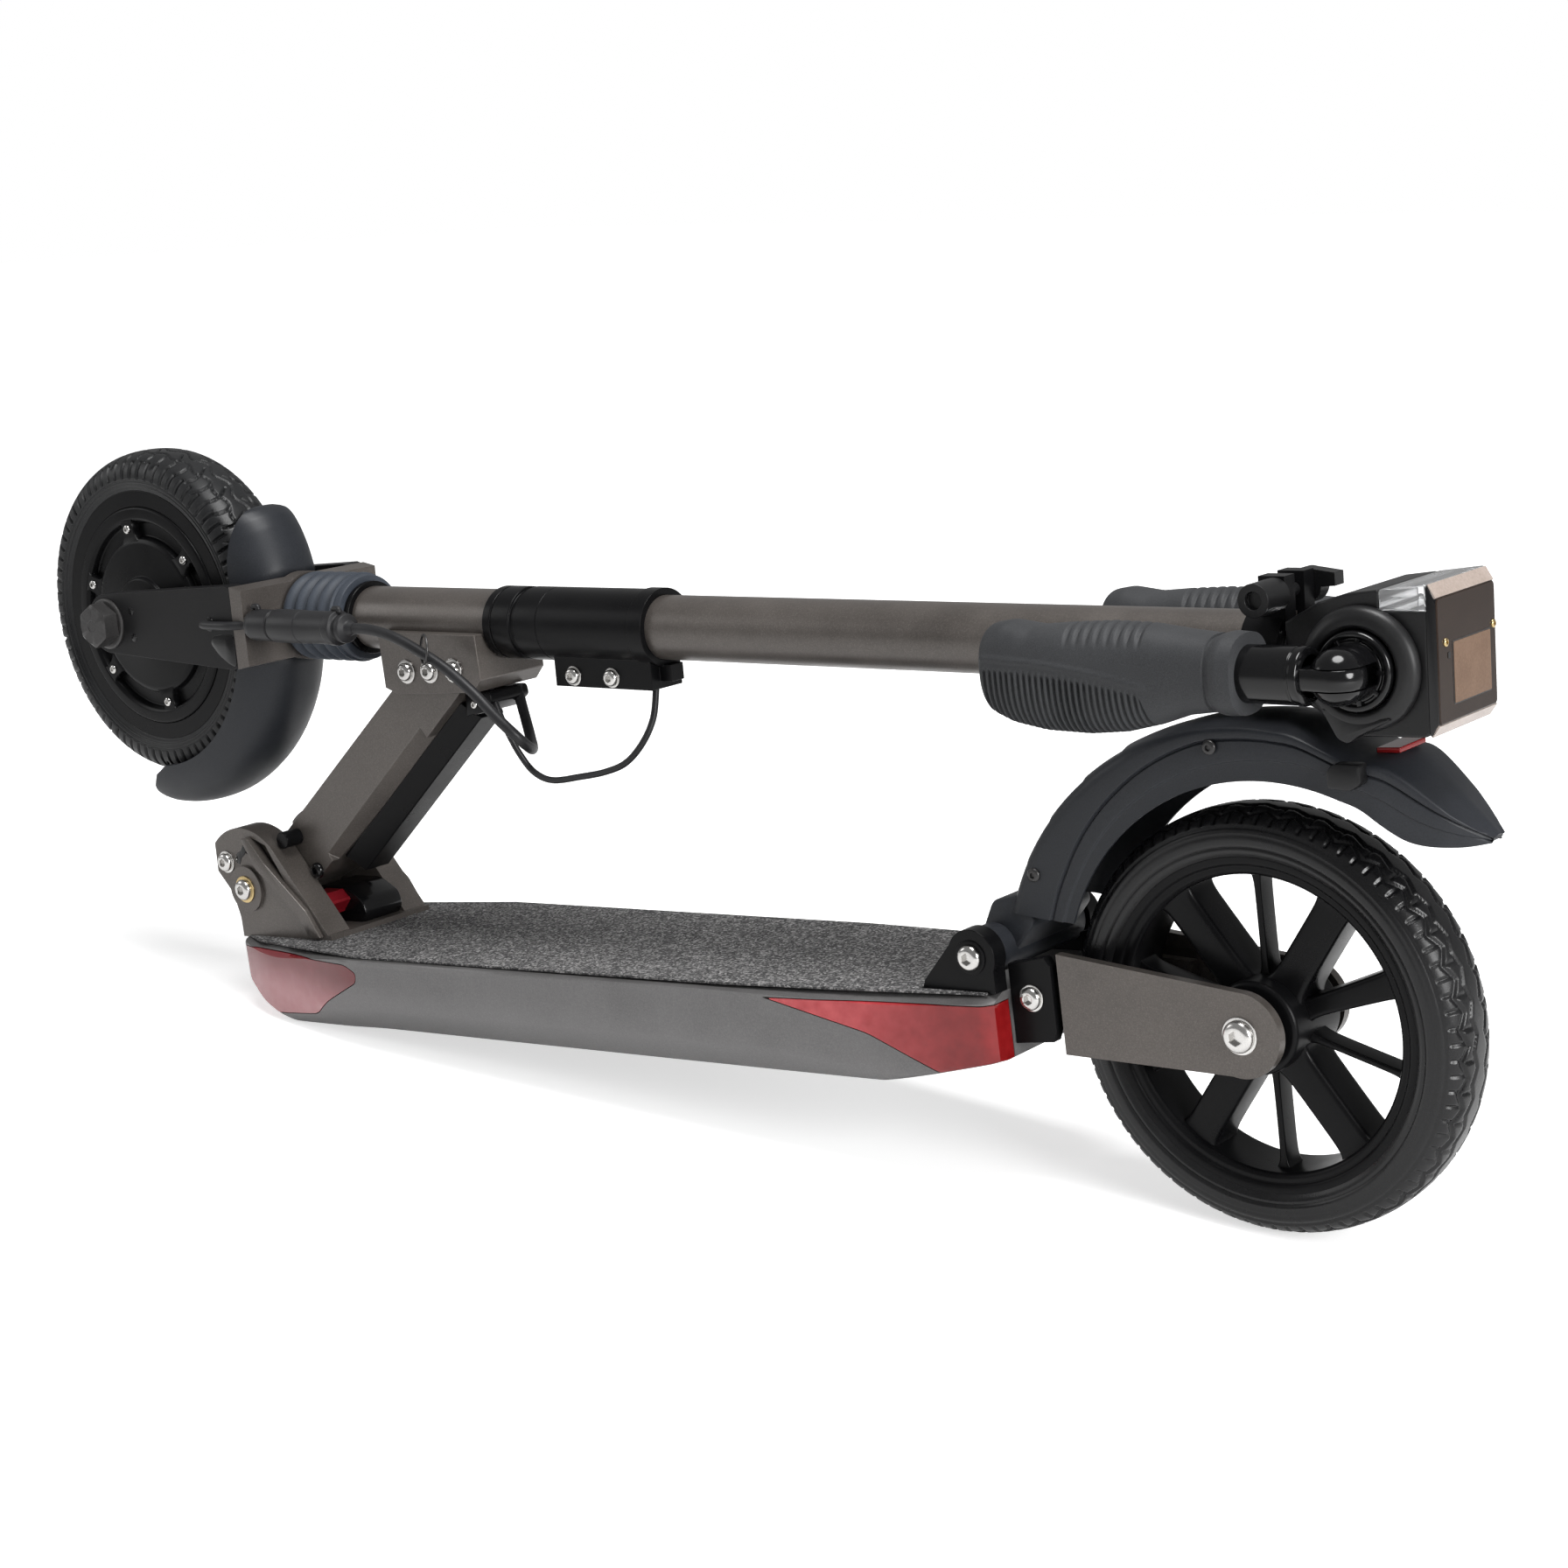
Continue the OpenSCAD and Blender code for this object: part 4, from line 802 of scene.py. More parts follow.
# %% Castings and tubes
for node, width, mat, slot in (("bottom_cover", 0.8, black_plastic, "black_plastic"),
                               ("hinge_bracket", 1.4, paint, "frame_paint"),
                               ("rear_bracket", 1.2, satin_black, "black_metal"),
                               ("lock_pedal", 0.5, red_plastic, "red_plastic"),
                               ("arm", 1.2, paint, "frame_paint"),
                               ("arm_trim", 0.6, satin_black, "black_metal"),
                               ("head_tube", 0.6, paint, "frame_paint"),
                               ("headset_cups", 0.8, satin_black, "black_metal"),
                               ("steerer", 0.8, satin_black, "steel"),
                               ("stem_sleeve", 0.9, satin_black, "black_metal"),
                               ("stem_tube", 0.5, paint, "frame_paint"),
                               ("height_clamp", 1.0, satin_black, "black_metal"),
                               ("clamp_knob", 0.8, black_plastic, "black_plastic"),
                               ("clamp_lever", 1.0, black_plastic, "black_plastic"),
                               ("fork_crown", 1.0, paint, "frame_paint"),
                               ("fork_legs", 2.2, leg_black, "guard_plastic"),
                               ("motor_drum", 0.6, satin_black, "black_metal"),
                               ("inner_tube", 0.4, bright_tube, "bright_tube"),
                               ("head_shell", 2.2, black_plastic, "black_plastic"),
                               ("headlight_lens", 1.0, clear_lens, "clear_lens"),
                               ("brake_pad", 0.6, cable_rubber, "black_rubber"),
                               ("tail_lens", 0.6, red_lens, "red_lens"),
                               ("swing_arm", 2.0, paint, "frame_paint"),):
    eased(node, width, mat)
print("eased castings made")

# %% [markdown]
# ## Tyres
# A tyre is a turned ring with a tread moulded in. A boolean for each groove would be slow
# and leave ragged faces, so the ring is a dense grid, and each point moves inwards where a
# groove passes: zig-zag lines round the crown, slots on the shoulders, fine rings on the
# sidewall.

# %% Tyre shapes
REAR_BLOCKS, FRONT_BLOCKS = 42, 30


def groove(distance, width, depth):
    """how deep a groove is at a distance from its middle"""
    return depth * np.clip(1.6 - 1.6 * np.abs(distance) / width, 0, 1)


def zigzag(t):
    """a triangle wave from -1 to 1"""
    return 2 * np.abs(2 * (t - np.floor(t + 0.5))) - 1


def to_nearest(t, pitch):
    """how far away the nearest repeat is, in millimetres"""
    return (t - np.round(t)) * pitch


def between(side, low, high):
    return (side > low) & (side < high)


def ringed(s, side, rings):
    """add the fine rings of the sidewall"""
    for place, depth in rings:
        s = s + groove(side - place, 0.8, depth)
    return s


def tyre(name, half_line, seat, tread, mat, at, body, node, around=840, across=96):
    """a turned tyre with its tread pressed in"""
    right = np.array(half_line, float)
    line = np.concatenate([right[::-1] * [1, -1], right[1:]])
    line, want = resampled(line, across, 12)
    v = want - want[-1] / 2
    t = np.gradient(line, axis=0)
    out = np.stack([t[:, 1], -t[:, 0]], 1)
    out /= np.linalg.norm(out, axis=1)[:, None]
    if out[across // 2, 0] < 0:
        out = -out
    a = np.linspace(0, 2 * math.pi, around, endpoint=False)
    sink = tread(a[:, None], v[None, :])
    r = line[None, :, 0] - sink * out[None, :, 0]
    y = line[None, :, 1] - sink * out[None, :, 1]
    r = np.concatenate([r, np.full((around, 2), seat)], 1)
    edge = [line[-1, 1] - 0.4, line[0, 1] + 0.4]
    y = np.concatenate([y, np.broadcast_to(edge, (around, 2))], 1)
    rings = np.stack([r * np.cos(a)[:, None], y, r * np.sin(a)[:, None]], 2)
    ob = make(name, *skin(rings, loop=True), mat, at, sharp=55)
    return settle(ob, body, [node])


def rear_tread(a, v):
    n = a / (2 * math.pi) * REAR_BLOCKS
    side = np.abs(v)
    s = groove(side - 5.2 - 1.5 * zigzag(n), 1.2, 1.0)
    s = np.maximum(s, groove(side - 12.2 - 2.1 * zigzag(n + 0.25), 1.5, 1.3))
    link = groove(to_nearest(n + 0.25 * np.sign(v), 15), 1.1, 0.9)
    s = np.maximum(s, link * between(side, 5.2, 12.2))
    slot = groove(to_nearest(n * 2 + 0.25, 7.4), 1.0, 0.9)
    s = np.maximum(s, slot * between(side, 12.5, 19))
    knurl = np.clip(np.sin(a * 420) * np.sin(side * 4.4), 0, 1) * 0.28
    s = (s + knurl * between(side, 14, 19.5)) * np.clip((20.3 - side) / 0.8, 0, 1)
    return ringed(s, side, ((21.3, 0.5), (25.0, 0.3), (30.8, 0.7)))


def front_tread(a, v):
    n = a / (2 * math.pi) * FRONT_BLOCKS
    side = np.abs(v)
    s = groove(v - 2.4 * np.sin(2 * math.pi * n), 0.9, 1.1)
    sweep = n + 0.42 * np.sin(side / 9.5) + 0.25 * np.sign(v)
    s = np.maximum(s, groove(to_nearest(sweep, 19), 1.0, 1.3) * between(side, 2.6, 21))
    s = np.maximum(s, groove(to_nearest(sweep + 0.5, 19), 0.9, 1.1) * between(side, 9, 24))
    s = np.maximum(s, groove(side - 10 - 1.6 * np.sin(2 * math.pi * n + 1.1), 0.9, 1.0))
    lug = groove(to_nearest(n * 2.5 + 0.3, 7.6), 1.3, 1.7)
    s = np.maximum(s, lug * between(side, 20, 31)) * np.clip((31.5 - side) / 0.8, 0, 1)
    return ringed(s, side, ((32.6, 0.6), (35.0, 0.5), (37.2, 0.5)))


rear_half = [(100, 0), (99.7, 6), (98.3, 11.5), (95.2, 16.4), (90.5, 19.2), (85.5, 19.9), (81, 19),
             (78, 17)]
front_half = [(100, 0), (99.6, 7), (98.2, 13), (95, 18.5), (90, 22), (84.5, 23), (80, 22.2), (77, 20.8)]
rear_tyre = tyre("rear_tyre_tread", rear_half, 77.6, rear_tread, tyre_rubber, REAR, "rear_wheel",
                 "rear_tyre")
front_tyre = tyre("front_tyre_tread", front_half, 76.6, front_tread, front_rubber, STEM, "front_wheel",
                  "front_tyre")
print("tyres:", len(rear_tyre.data.polygons), len(front_tyre.data.polygons), "faces")

# %% [markdown]
# ## Geometry Nodes for what repeats
# `round_the_axle` takes points that each hold a turn, and puts a copy of a template at
# that turn about an axle or a boss: spokes, cover ears, teeth. `fasteners` puts a
# template on every point, aimed along the point's own vector: all the button-head bolts.

# %% Node trees for repeats


def repeat_tree(name, aimed):
    """a node tree that sets a template on points, aimed or turned by an attribute"""
    tree = bpy.data.node_groups.new(name, "GeometryNodeTree")
    face = tree.interface
    face.new_socket("Points", in_out="INPUT", socket_type="NodeSocketGeometry")
    face.new_socket("Template", in_out="INPUT", socket_type="NodeSocketObject")
    face.new_socket("Scale", in_out="INPUT", socket_type="NodeSocketFloat").default_value = 1.0
    face.new_socket("Finish", in_out="INPUT", socket_type="NodeSocketMaterial")
    face.new_socket("Pieces", in_out="OUTPUT", socket_type="NodeSocketGeometry")
    i, o = tree.nodes.new("NodeGroupInput"), tree.nodes.new("NodeGroupOutput")
    shape = tree.nodes.new("GeometryNodeObjectInfo")
    on = tree.nodes.new("GeometryNodeInstanceOnPoints")
    real = tree.nodes.new("GeometryNodeRealizeInstances")
    dress = tree.nodes.new("GeometryNodeSetMaterial")
    attr = tree.nodes.new("GeometryNodeInputNamedAttribute")
    link = tree.links.new
    if aimed:
        attr.data_type = "FLOAT_VECTOR"
        attr.inputs["Name"].default_value = "aim"
        turn = tree.nodes.new("FunctionNodeAlignRotationToVector")
        turn.axis = "Z"
        link(attr.outputs["Attribute"], turn.inputs["Vector"])
        link(turn.outputs["Rotation"], on.inputs["Rotation"])
    else:
        attr.data_type = "FLOAT"
        attr.inputs["Name"].default_value = "turn"
        xyz = tree.nodes.new("ShaderNodeCombineXYZ")
        link(attr.outputs["Attribute"], xyz.inputs["Y"])
        euler = tree.nodes.new("FunctionNodeEulerToRotation")
        link(xyz.outputs[0], euler.inputs[0])
        link(euler.outputs[0], on.inputs["Rotation"])
    link(i.outputs["Points"], on.inputs["Points"])
    link(i.outputs["Template"], shape.inputs["Object"])
    link(shape.outputs["Geometry"], on.inputs["Instance"])
    link(i.outputs["Scale"], on.inputs["Scale"])
    link(on.outputs["Instances"], real.inputs["Geometry"])
    link(real.outputs["Geometry"], dress.inputs["Geometry"])
    link(i.outputs["Finish"], dress.inputs["Material"])
    link(dress.outputs["Geometry"], o.inputs["Pieces"])
    return tree


ROUND, FASTEN = repeat_tree("round_the_axle", False), repeat_tree("fasteners", True)


def repeated(name, tree, points, values, template, mat, scale=1.0):
    """run a repeat tree once and keep its result as a plain mesh"""
    me = bpy.data.meshes.new(name)
    me.from_pydata([tuple(p) for p in points], [], [])
    label, kind = ("aim", "FLOAT_VECTOR") if tree is FASTEN else ("turn", "FLOAT")
    data = me.attributes.new(label, kind, "POINT").data
    data.foreach_set("vector" if tree is FASTEN else "value", np.asarray(values, np.float32).ravel())
    ob = bpy.data.objects.new(name, me)
    scene.collection.objects.link(ob)
    mod = ob.modifiers.new("repeat", "NODES")
    mod.node_group = tree
    ids = {s.name: s.identifier for s in tree.interface.items_tree if s.in_out == "INPUT"}
    mod[ids["Template"]], mod[ids["Scale"]], mod[ids["Finish"]] = template, scale, mat
    baked(ob)
    bpy.data.objects.remove(template)
    refinish(ob.data, mat)
    return ob


def set_round(name, turns, template, mat):
    """a template repeated about the y axis"""
    return repeated(name, ROUND, [(0, 0, 0)] * len(turns), turns, template, mat)


def at_place(ob, at):
    """move a piece's mesh into a drawing frame"""
    ob.data.transform(at)
    return ob


HERE = Matrix.Identity(4)
print("node trees:", ROUND.name, FASTEN.name)

# %% [markdown]
# ## Rear wheel
# A moulded wheel: a rim with lips, a hub, four wide spokes, two tapered ones and four
# thin fins. It could be cut from one disc, but the spokes' flared roots would be lost. One
# spoke of each kind is lofted with flared ends, and the tree sets it round.

# %% Spokes, rim and hub


def both_halves(half):
    """a drawn half and its mirror image, as one outline"""
    return half + [(a, -b, *r) for a, b, *r in half[::-1]]


def spoke(name, thick, flare, wide, edge):
    rings = []
    for r in np.concatenate([[17], np.linspace(19, 27, 7), np.linspace(30, 60, 5),
                             np.linspace(63, 71, 7)]):
        f = np.exp(-(r - 19) / 3.2) + np.exp(-(70.5 - r) / 2.6)
        t = thick / 2 + flare * (r - 20) / 50 + 2.6 * min(f, 1.2)
        w = wide / 2 + 0.8 * min(f, 1)
        line = soft([(-w, -t), (w, -t), (w, t), (-w, t)], edge, 3, True)
        rings.append(np.stack([np.full(len(line), r), line[:, 0], line[:, 1]], 1))
    return make(name, *skin(rings), satin_black, HERE, sharp=45)


def turn_of(k):
    return -math.radians(90 + 36 * k)


for name, sizes, places in (
    ("rear_spokes_wide", (17, 0, 22, 3.0), (1, 4, 6, 9)),
    ("rear_spokes_tapered", (8.6, 2.4, 16, 2.4), (3, 8)),
    ("rear_spokes_thin", (3.2, 0, 12, 1.2), (0, 2, 5, 7)),
):
    ob = set_round(name, [turn_of(k) for k in places], spoke("spoke_template", *sizes), satin_black)
    settle(at_place(ob, REAR), "rear_wheel", ["rear_rim"])
rim_line = both_halves([(69.5, -14, 2), (71.5, -15.6, 0.8), (74, -15.6, 0.6), (75, -17, 0.8),
                        (78.6, -17.6, 0.8), (79.4, -16.6, 0.5), (77.6, -15, 0.5)])
hub_line = both_halves([(7, -20.5), (14.5, -20.5, 0.3), (15, -21, 0.3), (20.5, -21, 1), (22, -19.5, 1)])
for name, line, r, n in (("rear_rim_ring", rim_line, 1, 144), ("rear_hub", hub_line, 0.6, 96)):
    ring = make(name, *turned(soft(line, r, 3, True), "y", n), satin_black, REAR)
    settle(ring, "rear_wheel", ["rear_rim"])
print("rear wheel made")

# %% [markdown]
# ## Hub motor covers
# Each side cover is a black disc with a sunk channel round it. Six ears cross the channel,
# and each holds a small screw. The disc is turned, because it is round; the ears aren't,
# so one is drawn and the tree sets six of them round.

# %% Motor covers
SIDES = ((-1, "left"), (1, "right"))
cover_line = soft([(6.1, 31.5), (13, 31.8, 0.6), (14, 31, 0.6), (14, 26.6, 0.5), (23, 26.4, 0.8),
                   (24, 25.4, 0.6), (24.4, 23.4, 0.6), (45, 22.6, 1.2), (47.5, 21.4, 0.8),
                   (48.6, 17.4, 0.8), (57, 17.2, 0.8), (58.2, 21.2, 0.6), (60, 22.4, 0.6),
                   (66, 22.2, 0.6), (67, 21.2, 0.6), (67, 16), (6.1, 16)], 0.8, 3, True)


def cover_ear():
    line = soft(both_halves([(44, -9, 2), (50, -5.2, 3), (57.5, -5, 2), (60, -7, 1)]), 2, 3, True)
    rings = [np.stack([line[:, 0], np.full(len(line), y), line[:, 1]], 1) for y in (-16.5, -21.6)]
    crown = [52 + (line[:, 0] - 52) * 0.94, np.full(len(line), -22.2), line[:, 1] * 0.9]
    return make("ear_template", *skin(rings + [np.stack(crown, 1)]), satin_black, HERE)


six = [math.radians(20 + 60 * k) for k in range(6)]
for side, label in SIDES:
    cover = make("motor_cover_" + label, *turned(cover_line * [1, side], "y", 144), satin_black, STEM,
                 sharp=30)
    settle(cover, "front_wheel", ["motor_covers"])
    ears = set_round("cover_ears_" + label, six, cover_ear(), satin_black)
    if side > 0:
        ears.data.transform(Matrix.Rotation(math.pi, 4, "Z"))
    settle(at_place(ears, STEM), "front_wheel", ["motor_covers"])
print("motor covers made")

# %% [markdown]
# ## Bolts
# Nearly every bolt here is a button head with a hexagon socket. Copies placed by hand
# would drift apart, so one template is turned, with its socket shaped to a hexagon, and
# the tree aims a copy at each hole.

# %% Bolt templates


def button_head(name, radius, height, socket, mat, n=48):
    """a domed bolt head with a hexagon socket"""
    a = np.linspace(0, 2 * math.pi, n, endpoint=False)
    hexa = 1 / np.cos((a + math.pi / 6) % (math.pi / 3) - math.pi / 6)
    rows = [(0.001, height * 0.35, 0), (socket * 0.98, height * 0.35, 1), (socket, height * 0.96, 1),
            (socket * 1.12, height, 0.7), (socket * 1.3, height * 0.99, 0.0)]
    for t in np.linspace(0.1, 1, 9):
        b = t * math.pi / 2 * 0.94
        rows.append((socket * 1.3 + (radius - socket * 1.3) * math.sin(b),
                     height * (0.22 + 0.77 * math.cos(b)), 0))
    rows += [(radius, height * 0.12, 0), (radius * 0.985, 0, 0), (radius * 0.7, -0.4, 0)]
    ring = []
    for r, z, hx in rows:
        rr = r * (1 + hx * (hexa - 1))
        ring.append(np.stack([rr * np.cos(a), rr * np.sin(a), np.full(n, z)], 1))
    return make(name, *skin(ring), mat, HERE, sharp=35)


def flat_washer(name, inner, outer, thick, mat):
    line = soft([(inner, 0), (outer, 0, 0.3), (outer, thick, 0.3), (inner, thick, 0.3)], 0.25, 2, True)
    pts, faces = turned(line, "x", 48)
    return make(name, pts[:, [1, 2, 0]], faces, mat, HERE)


def both_sides(rows):
    """places on the left and on the right, with the way each bolt faces"""
    spots, aims = [], []
    for x, y, z in rows:
        for side, _ in SIDES:
            spots.append((x, side * y, z))
            aims.append((0, side, 0))
    return spots, aims


def bolts(name, body, at, rows, radius, height, nodes, washer=None, mat=steel):
    """button heads at both sides, with a washer under each where one is given"""
    spots, aims = both_sides(rows)
    wide, thick, washer_mat = washer or (0, 0, None)
    raised = [(x * MM, (y + math.copysign(thick, y)) * MM, z * MM) for x, y, z in spots]
    head = button_head("head_template", radius, height, radius * 0.4, mat)
    ob = repeated(name, FASTEN, raised, aims, head, mat)
    settle(at_place(ob, at), body, nodes)
    if washer:
        flat = [(x * MM, y * MM, z * MM) for x, y, z in spots]
        ring = flat_washer("washer_template", radius * 0.6, wide, thick, washer_mat)
        ob = repeated(name + "_washers", FASTEN, flat, aims, ring, washer_mat)
        settle(at_place(ob, at), body, nodes)


print("bolt templates ready")

# %% [markdown]
# Each row below says where a bolt sits on the right side; its twin on the left comes with
# it. A washer is given by its radius, its thickness and its finish.

# %% Bolts in their places
GUARD_PIN_X, GUARD_PIN_Z = -134, 17.5
guard_spots = [(r * math.cos(math.radians(t)), 27, r * math.sin(math.radians(t)) - AXLE_DROP)
               for r, t in ((130, 92), (126.5, 147))]
cover_spots = [(54 * math.cos(t), 22.1, -54 * math.sin(t)) for t in six]
bolts("fold_pin_heads", "frame", DECK, [(FOLD_X, 41, 30)], radius=6.4, height=3.6,
      nodes=["fold_bolts"], washer=(8.2, 0.8, brass))
bolts("cheek_bolt_heads", "frame", DECK, [(FOLD_X - 16, 39, 46)], radius=5.6, height=3.4,
      nodes=["fold_bolts"], washer=(6.8, 0.7, steel))
bolts("flange_bolt_heads", "front_frame", DECK, [(FOLD_X + 153 + 19 * k, 25, 157) for k in range(3)],
      radius=5.2, height=3.3, nodes=["flange_bolts"], washer=(6.8, 0.9, steel))
bolts("sleeve_bolt_heads", "steering", STEM, [(349, 12, -26), (377, 12, -26)], radius=4.6, height=3.0,
      nodes=["sleeve_bolts"], washer=(5.4, 0.6, steel))
bolts("mudguard_pin_heads", "frame", DECK, [(GUARD_PIN_X, 46, GUARD_PIN_Z)], radius=6.4, height=3.4,
      nodes=["rear_pins"], washer=(8.4, 0.7, satin_black))
bolts("swing_pin_heads", "frame", DECK, [(-110, 34, -4)], radius=5.6, height=3.2,
      nodes=["rear_pins"], washer=(6.6, 0.7, steel))
bolts("rear_axle_heads", "swing", REAR, [(0, 32.5, 0)], radius=7.6, height=4.0,
      nodes=["rear_axle"], washer=(8.8, 0.7, steel))
bolts("guard_screw_heads", "mudguard", DECK, guard_spots, radius=3.4, height=1.5,
      nodes=["guard_screws"], mat=dark_steel)
bolts("cover_screw_heads", "front_wheel", STEM, cover_spots, radius=2.8, height=1.6,
      nodes=["motor_covers"])
bolts("arm_stop_heads", "front_frame", DECK, [(FOLD_X + 46, 21.5, 38.6)], radius=4.8, height=3.2,
      nodes=["arm"], mat=gloss_black)
bolts("outlet_screw_heads", "front_frame", DECK, [(FOLD_X + 193, 15, 136)], radius=2.4, height=1.4,
      nodes=["arm_trim"])
print("bolts placed")

# %% [markdown]
# The front axle ends in a big chamfered hexagon nut with a thick washer; the rear axle's
# spacers sit between the swing arm and the hub. A bevelled six-sided cylinder would not
# show the round chamfer of a real nut, so a hexagon is cut off by a growing circle instead.

# %% Front axle nuts and rear spacers


def hex_nut(flats, y0, y1):
    """a hexagon nut whose corners are cut by a round chamfer"""
    a = np.linspace(0, 2 * math.pi, 72, endpoint=False)
    hexa = flats / np.cos((a + math.pi / 6) % (math.pi / 3) - math.pi / 6)
    corner = flats / math.cos(math.pi / 6)
    rings = []
    for y, lim in ((y0, corner), (y1 - 2.0, corner), (y1 - 1.1, corner * 0.975), (y1, flats * 0.93),
                   (y1, 4.0), (y1 - 0.3, 3.6)):
        r = np.minimum(hexa, lim)
        rings.append(np.stack([r * np.cos(a), np.full(72, y), r * np.sin(a)], 1))
    return skin(rings)


washer_line = soft([(6.2, 51.8), (15.4, 51.8, 0.3), (15.4, 53.2, 0.5), (14.4, 53.8, 0.4), (6.2, 53.8)],
                   0.4, 2, True)
spacer_line = soft([(6.2, 21.9), (13, 21.9, 0.8), (14, 23, 0.8), (14, 27.4), (6.2, 27.4)], 0.6, 2, True)
for side, label in SIDES:
    pts, faces = hex_nut(flats=11.6, y0=53.6, y1=64.0)
    nut = make("axle_nut_" + label, pts * [1, side, 1], faces, dark_steel, STEM, sharp=30)
    settle(nut, "fork", ["front_axle"])
    washer = make("axle_washer_" + label, *turned(washer_line * [1, side], "y", 72), dark_steel, STEM,
                  sharp=30)
    settle(washer, "fork", ["front_axle"])
    spacer = make("axle_spacer_" + label, *turned(spacer_line * [1, side], "y", 72), satin_black, REAR,
                  sharp=30)
    settle(spacer, "swing", ["rear_axle"])
print("axle ends made")

# %% [markdown]
# ## Bellows and spring
# The rubber bellows has round ribs, so it is turned from a wavy line; stacked rings would
# show seams. The spring inside is a wound wire. Both shorten when the fork travels.

# %% Bellows and fork spring
BELLOWS_LOW, BELLOWS_LONG, BELLOWS_RIBS, FORK_TOP = 128.2, 43.6, 4.5, 178
COIL_LOW, COIL_LONG, COIL_RADIUS, COIL_TURNS = 131, 39, 15, 5
share = np.linspace(0, 1, 121)
wave = 22.6 + 3.3 * np.abs(np.sin(math.pi * (share * BELLOWS_RIBS + 0.02))) ** 0.8
rise = BELLOWS_LOW + share * BELLOWS_LONG
cuff = np.array([(24.6, 172.4), (24.6, 176.8), (24.0, 177.6), (20.2, 177.6), (20.2, 171.5)])
inside = np.stack([wave[::-6] - 2.2, rise[::-6]], 1)
bell_line = np.concatenate([np.stack([wave, rise], 1), cuff, inside])
bellows = make("bellows_ribs", *turned(bell_line, "x", 96), bellows_rubber, STEM, sharp=50)
settle(bellows, "steering", ["bellows"])
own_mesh(bellows)
angle = 2 * math.pi * COIL_TURNS * share
coil = np.stack([COIL_LOW + COIL_LONG * share, COIL_RADIUS * np.cos(angle),
                 COIL_RADIUS * np.sin(angle)], 1)
spring = make("fork_spring_coil", *tube(coil, 2.0, 8, (1, 0, 0)), steel, STEM)
settle(spring, "steering", ["fork_spring"])
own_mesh(spring)
print("bellows and spring made")

# %% [markdown]
# ## Front mudguard
# A round-backed shell over the tyre. A bent sheet would have no tongue at its ends, so it
# is lofted: each cross-section is an arch, a little squarer than a circle. The arch gets
# shorter towards both ends, which rounds them, and a table says how far the shell stands
# out at each angle.

# %% Front mudguard
FOOT_R = 88.2
OUT_RISE, OUT_HALF, IN_RISE, IN_HALF = 29.2, 29.3, 26.4, 26.8
SQUARER = 0.87
deg = np.concatenate([np.linspace(-98.5, -90, 14), np.linspace(-89, 15, 90), np.linspace(16, 34.5, 30)])
stand = np.interp(deg, [-98.5, -97, -94, -75, -55, -38, -24, -13, -11, 11, 13, 20, 26, 30, 33, 34.5],
                  [0.5, 2.4, 3.0, 1.9, 1.4, 2.2, 3.0, 2.8, 0.2, 0.2, 3.4, 4.0, 3.6, 2.4, 0.2, -2.5])
reach = np.interp(deg, [-98.5, -97.8, -96, -92, -86, 10, 17, 22, 26, 29, 31.5, 33.4, 34.5],
                  [0.3, 0.62, 0.95, 1.28, 1.46, 1.46, 1.42, 1.32, 1.16, 0.98, 0.76, 0.5, 0.2])
rings = []
for phi, up, span in zip(np.radians(deg), stand, reach):
    th = np.linspace(-span, span, 49)
    c, q = np.cos(th) ** SQUARER, np.sign(th) * np.abs(np.sin(th)) ** SQUARER
    outer, inner = FOOT_R + OUT_RISE * c + up * c * c, FOOT_R + IN_RISE * c
    r = np.concatenate([outer, inner[::-1]])
    yy = np.concatenate([OUT_HALF * q, IN_HALF * q[::-1]])
    rings.append(np.stack([r * math.cos(phi), yy, r * math.sin(phi)], 1))
front_guard = make("front_mudguard_shell", *skin(rings), slate, STEM, sharp=50)
settle(front_guard, "fork", ["front_mudguard"])
print("front mudguard:", len(front_guard.data.polygons), "faces")

# %% [markdown]
# ## Rear mudguard
# A channel that follows the wheel and runs out to a flat tail. Two lines guide it, the
# outer ridge and the lower edge of the skirt. Each is an arc about a point near the axle,
# carried on by a few points of the tail.

# %% Rear mudguard guide lines


def arc(r, start, end, cx, cz):
    """points on an arc, six degrees apart"""
    turns = [math.radians(t) for t in range(start, end, -6)]
    return [(cx + r * math.cos(t), cz + r * math.sin(t)) for t in turns]


ridge_tail = [(60, 111.4), (79, 108.0), (98, 92), (116, 72.4)]
skirt_tail = [(67, 86.4), (84, 73), (102, 69.2), (114.6, 69.6)]
ridge, _ = resampled(arc(137.5, 160, 71, 4, -11.5) + ridge_tail, 150, 16)
skirt, _ = resampled(arc(110, 158, 67, 14, -10.5) + skirt_tail, 150, 16)
print("ridge and skirt lines:", len(ridge))

# %% [markdown]
# The section between the lines has round shoulders, a step along the skirt and small
# ledges on the ridge, and it changes all the way. A sweep of one profile couldn't do that,
# so every section is drawn from the tables below and the rings are joined.

# %% Rear mudguard shell
HALF_WIDE = ([-160, 72, 100, 111, 117], [27, 27, 18, 10, 4])
LIP = ([0, 0.1, 0.3, 0.5, 0.68, 1], [0.12, 0.14, 0.22, 0.3, 0.4, 0.36])
BAND = ([0, 0.1, 0.3, 0.5, 0.62, 1], [0.3, 0.34, 0.5, 0.7, 0.72, 0.7])
LEDGE_FROM, LEDGE_TO, LEDGE_PITCH, LEDGE_RISE = 0.08, 0.44, 0.09, 2.2


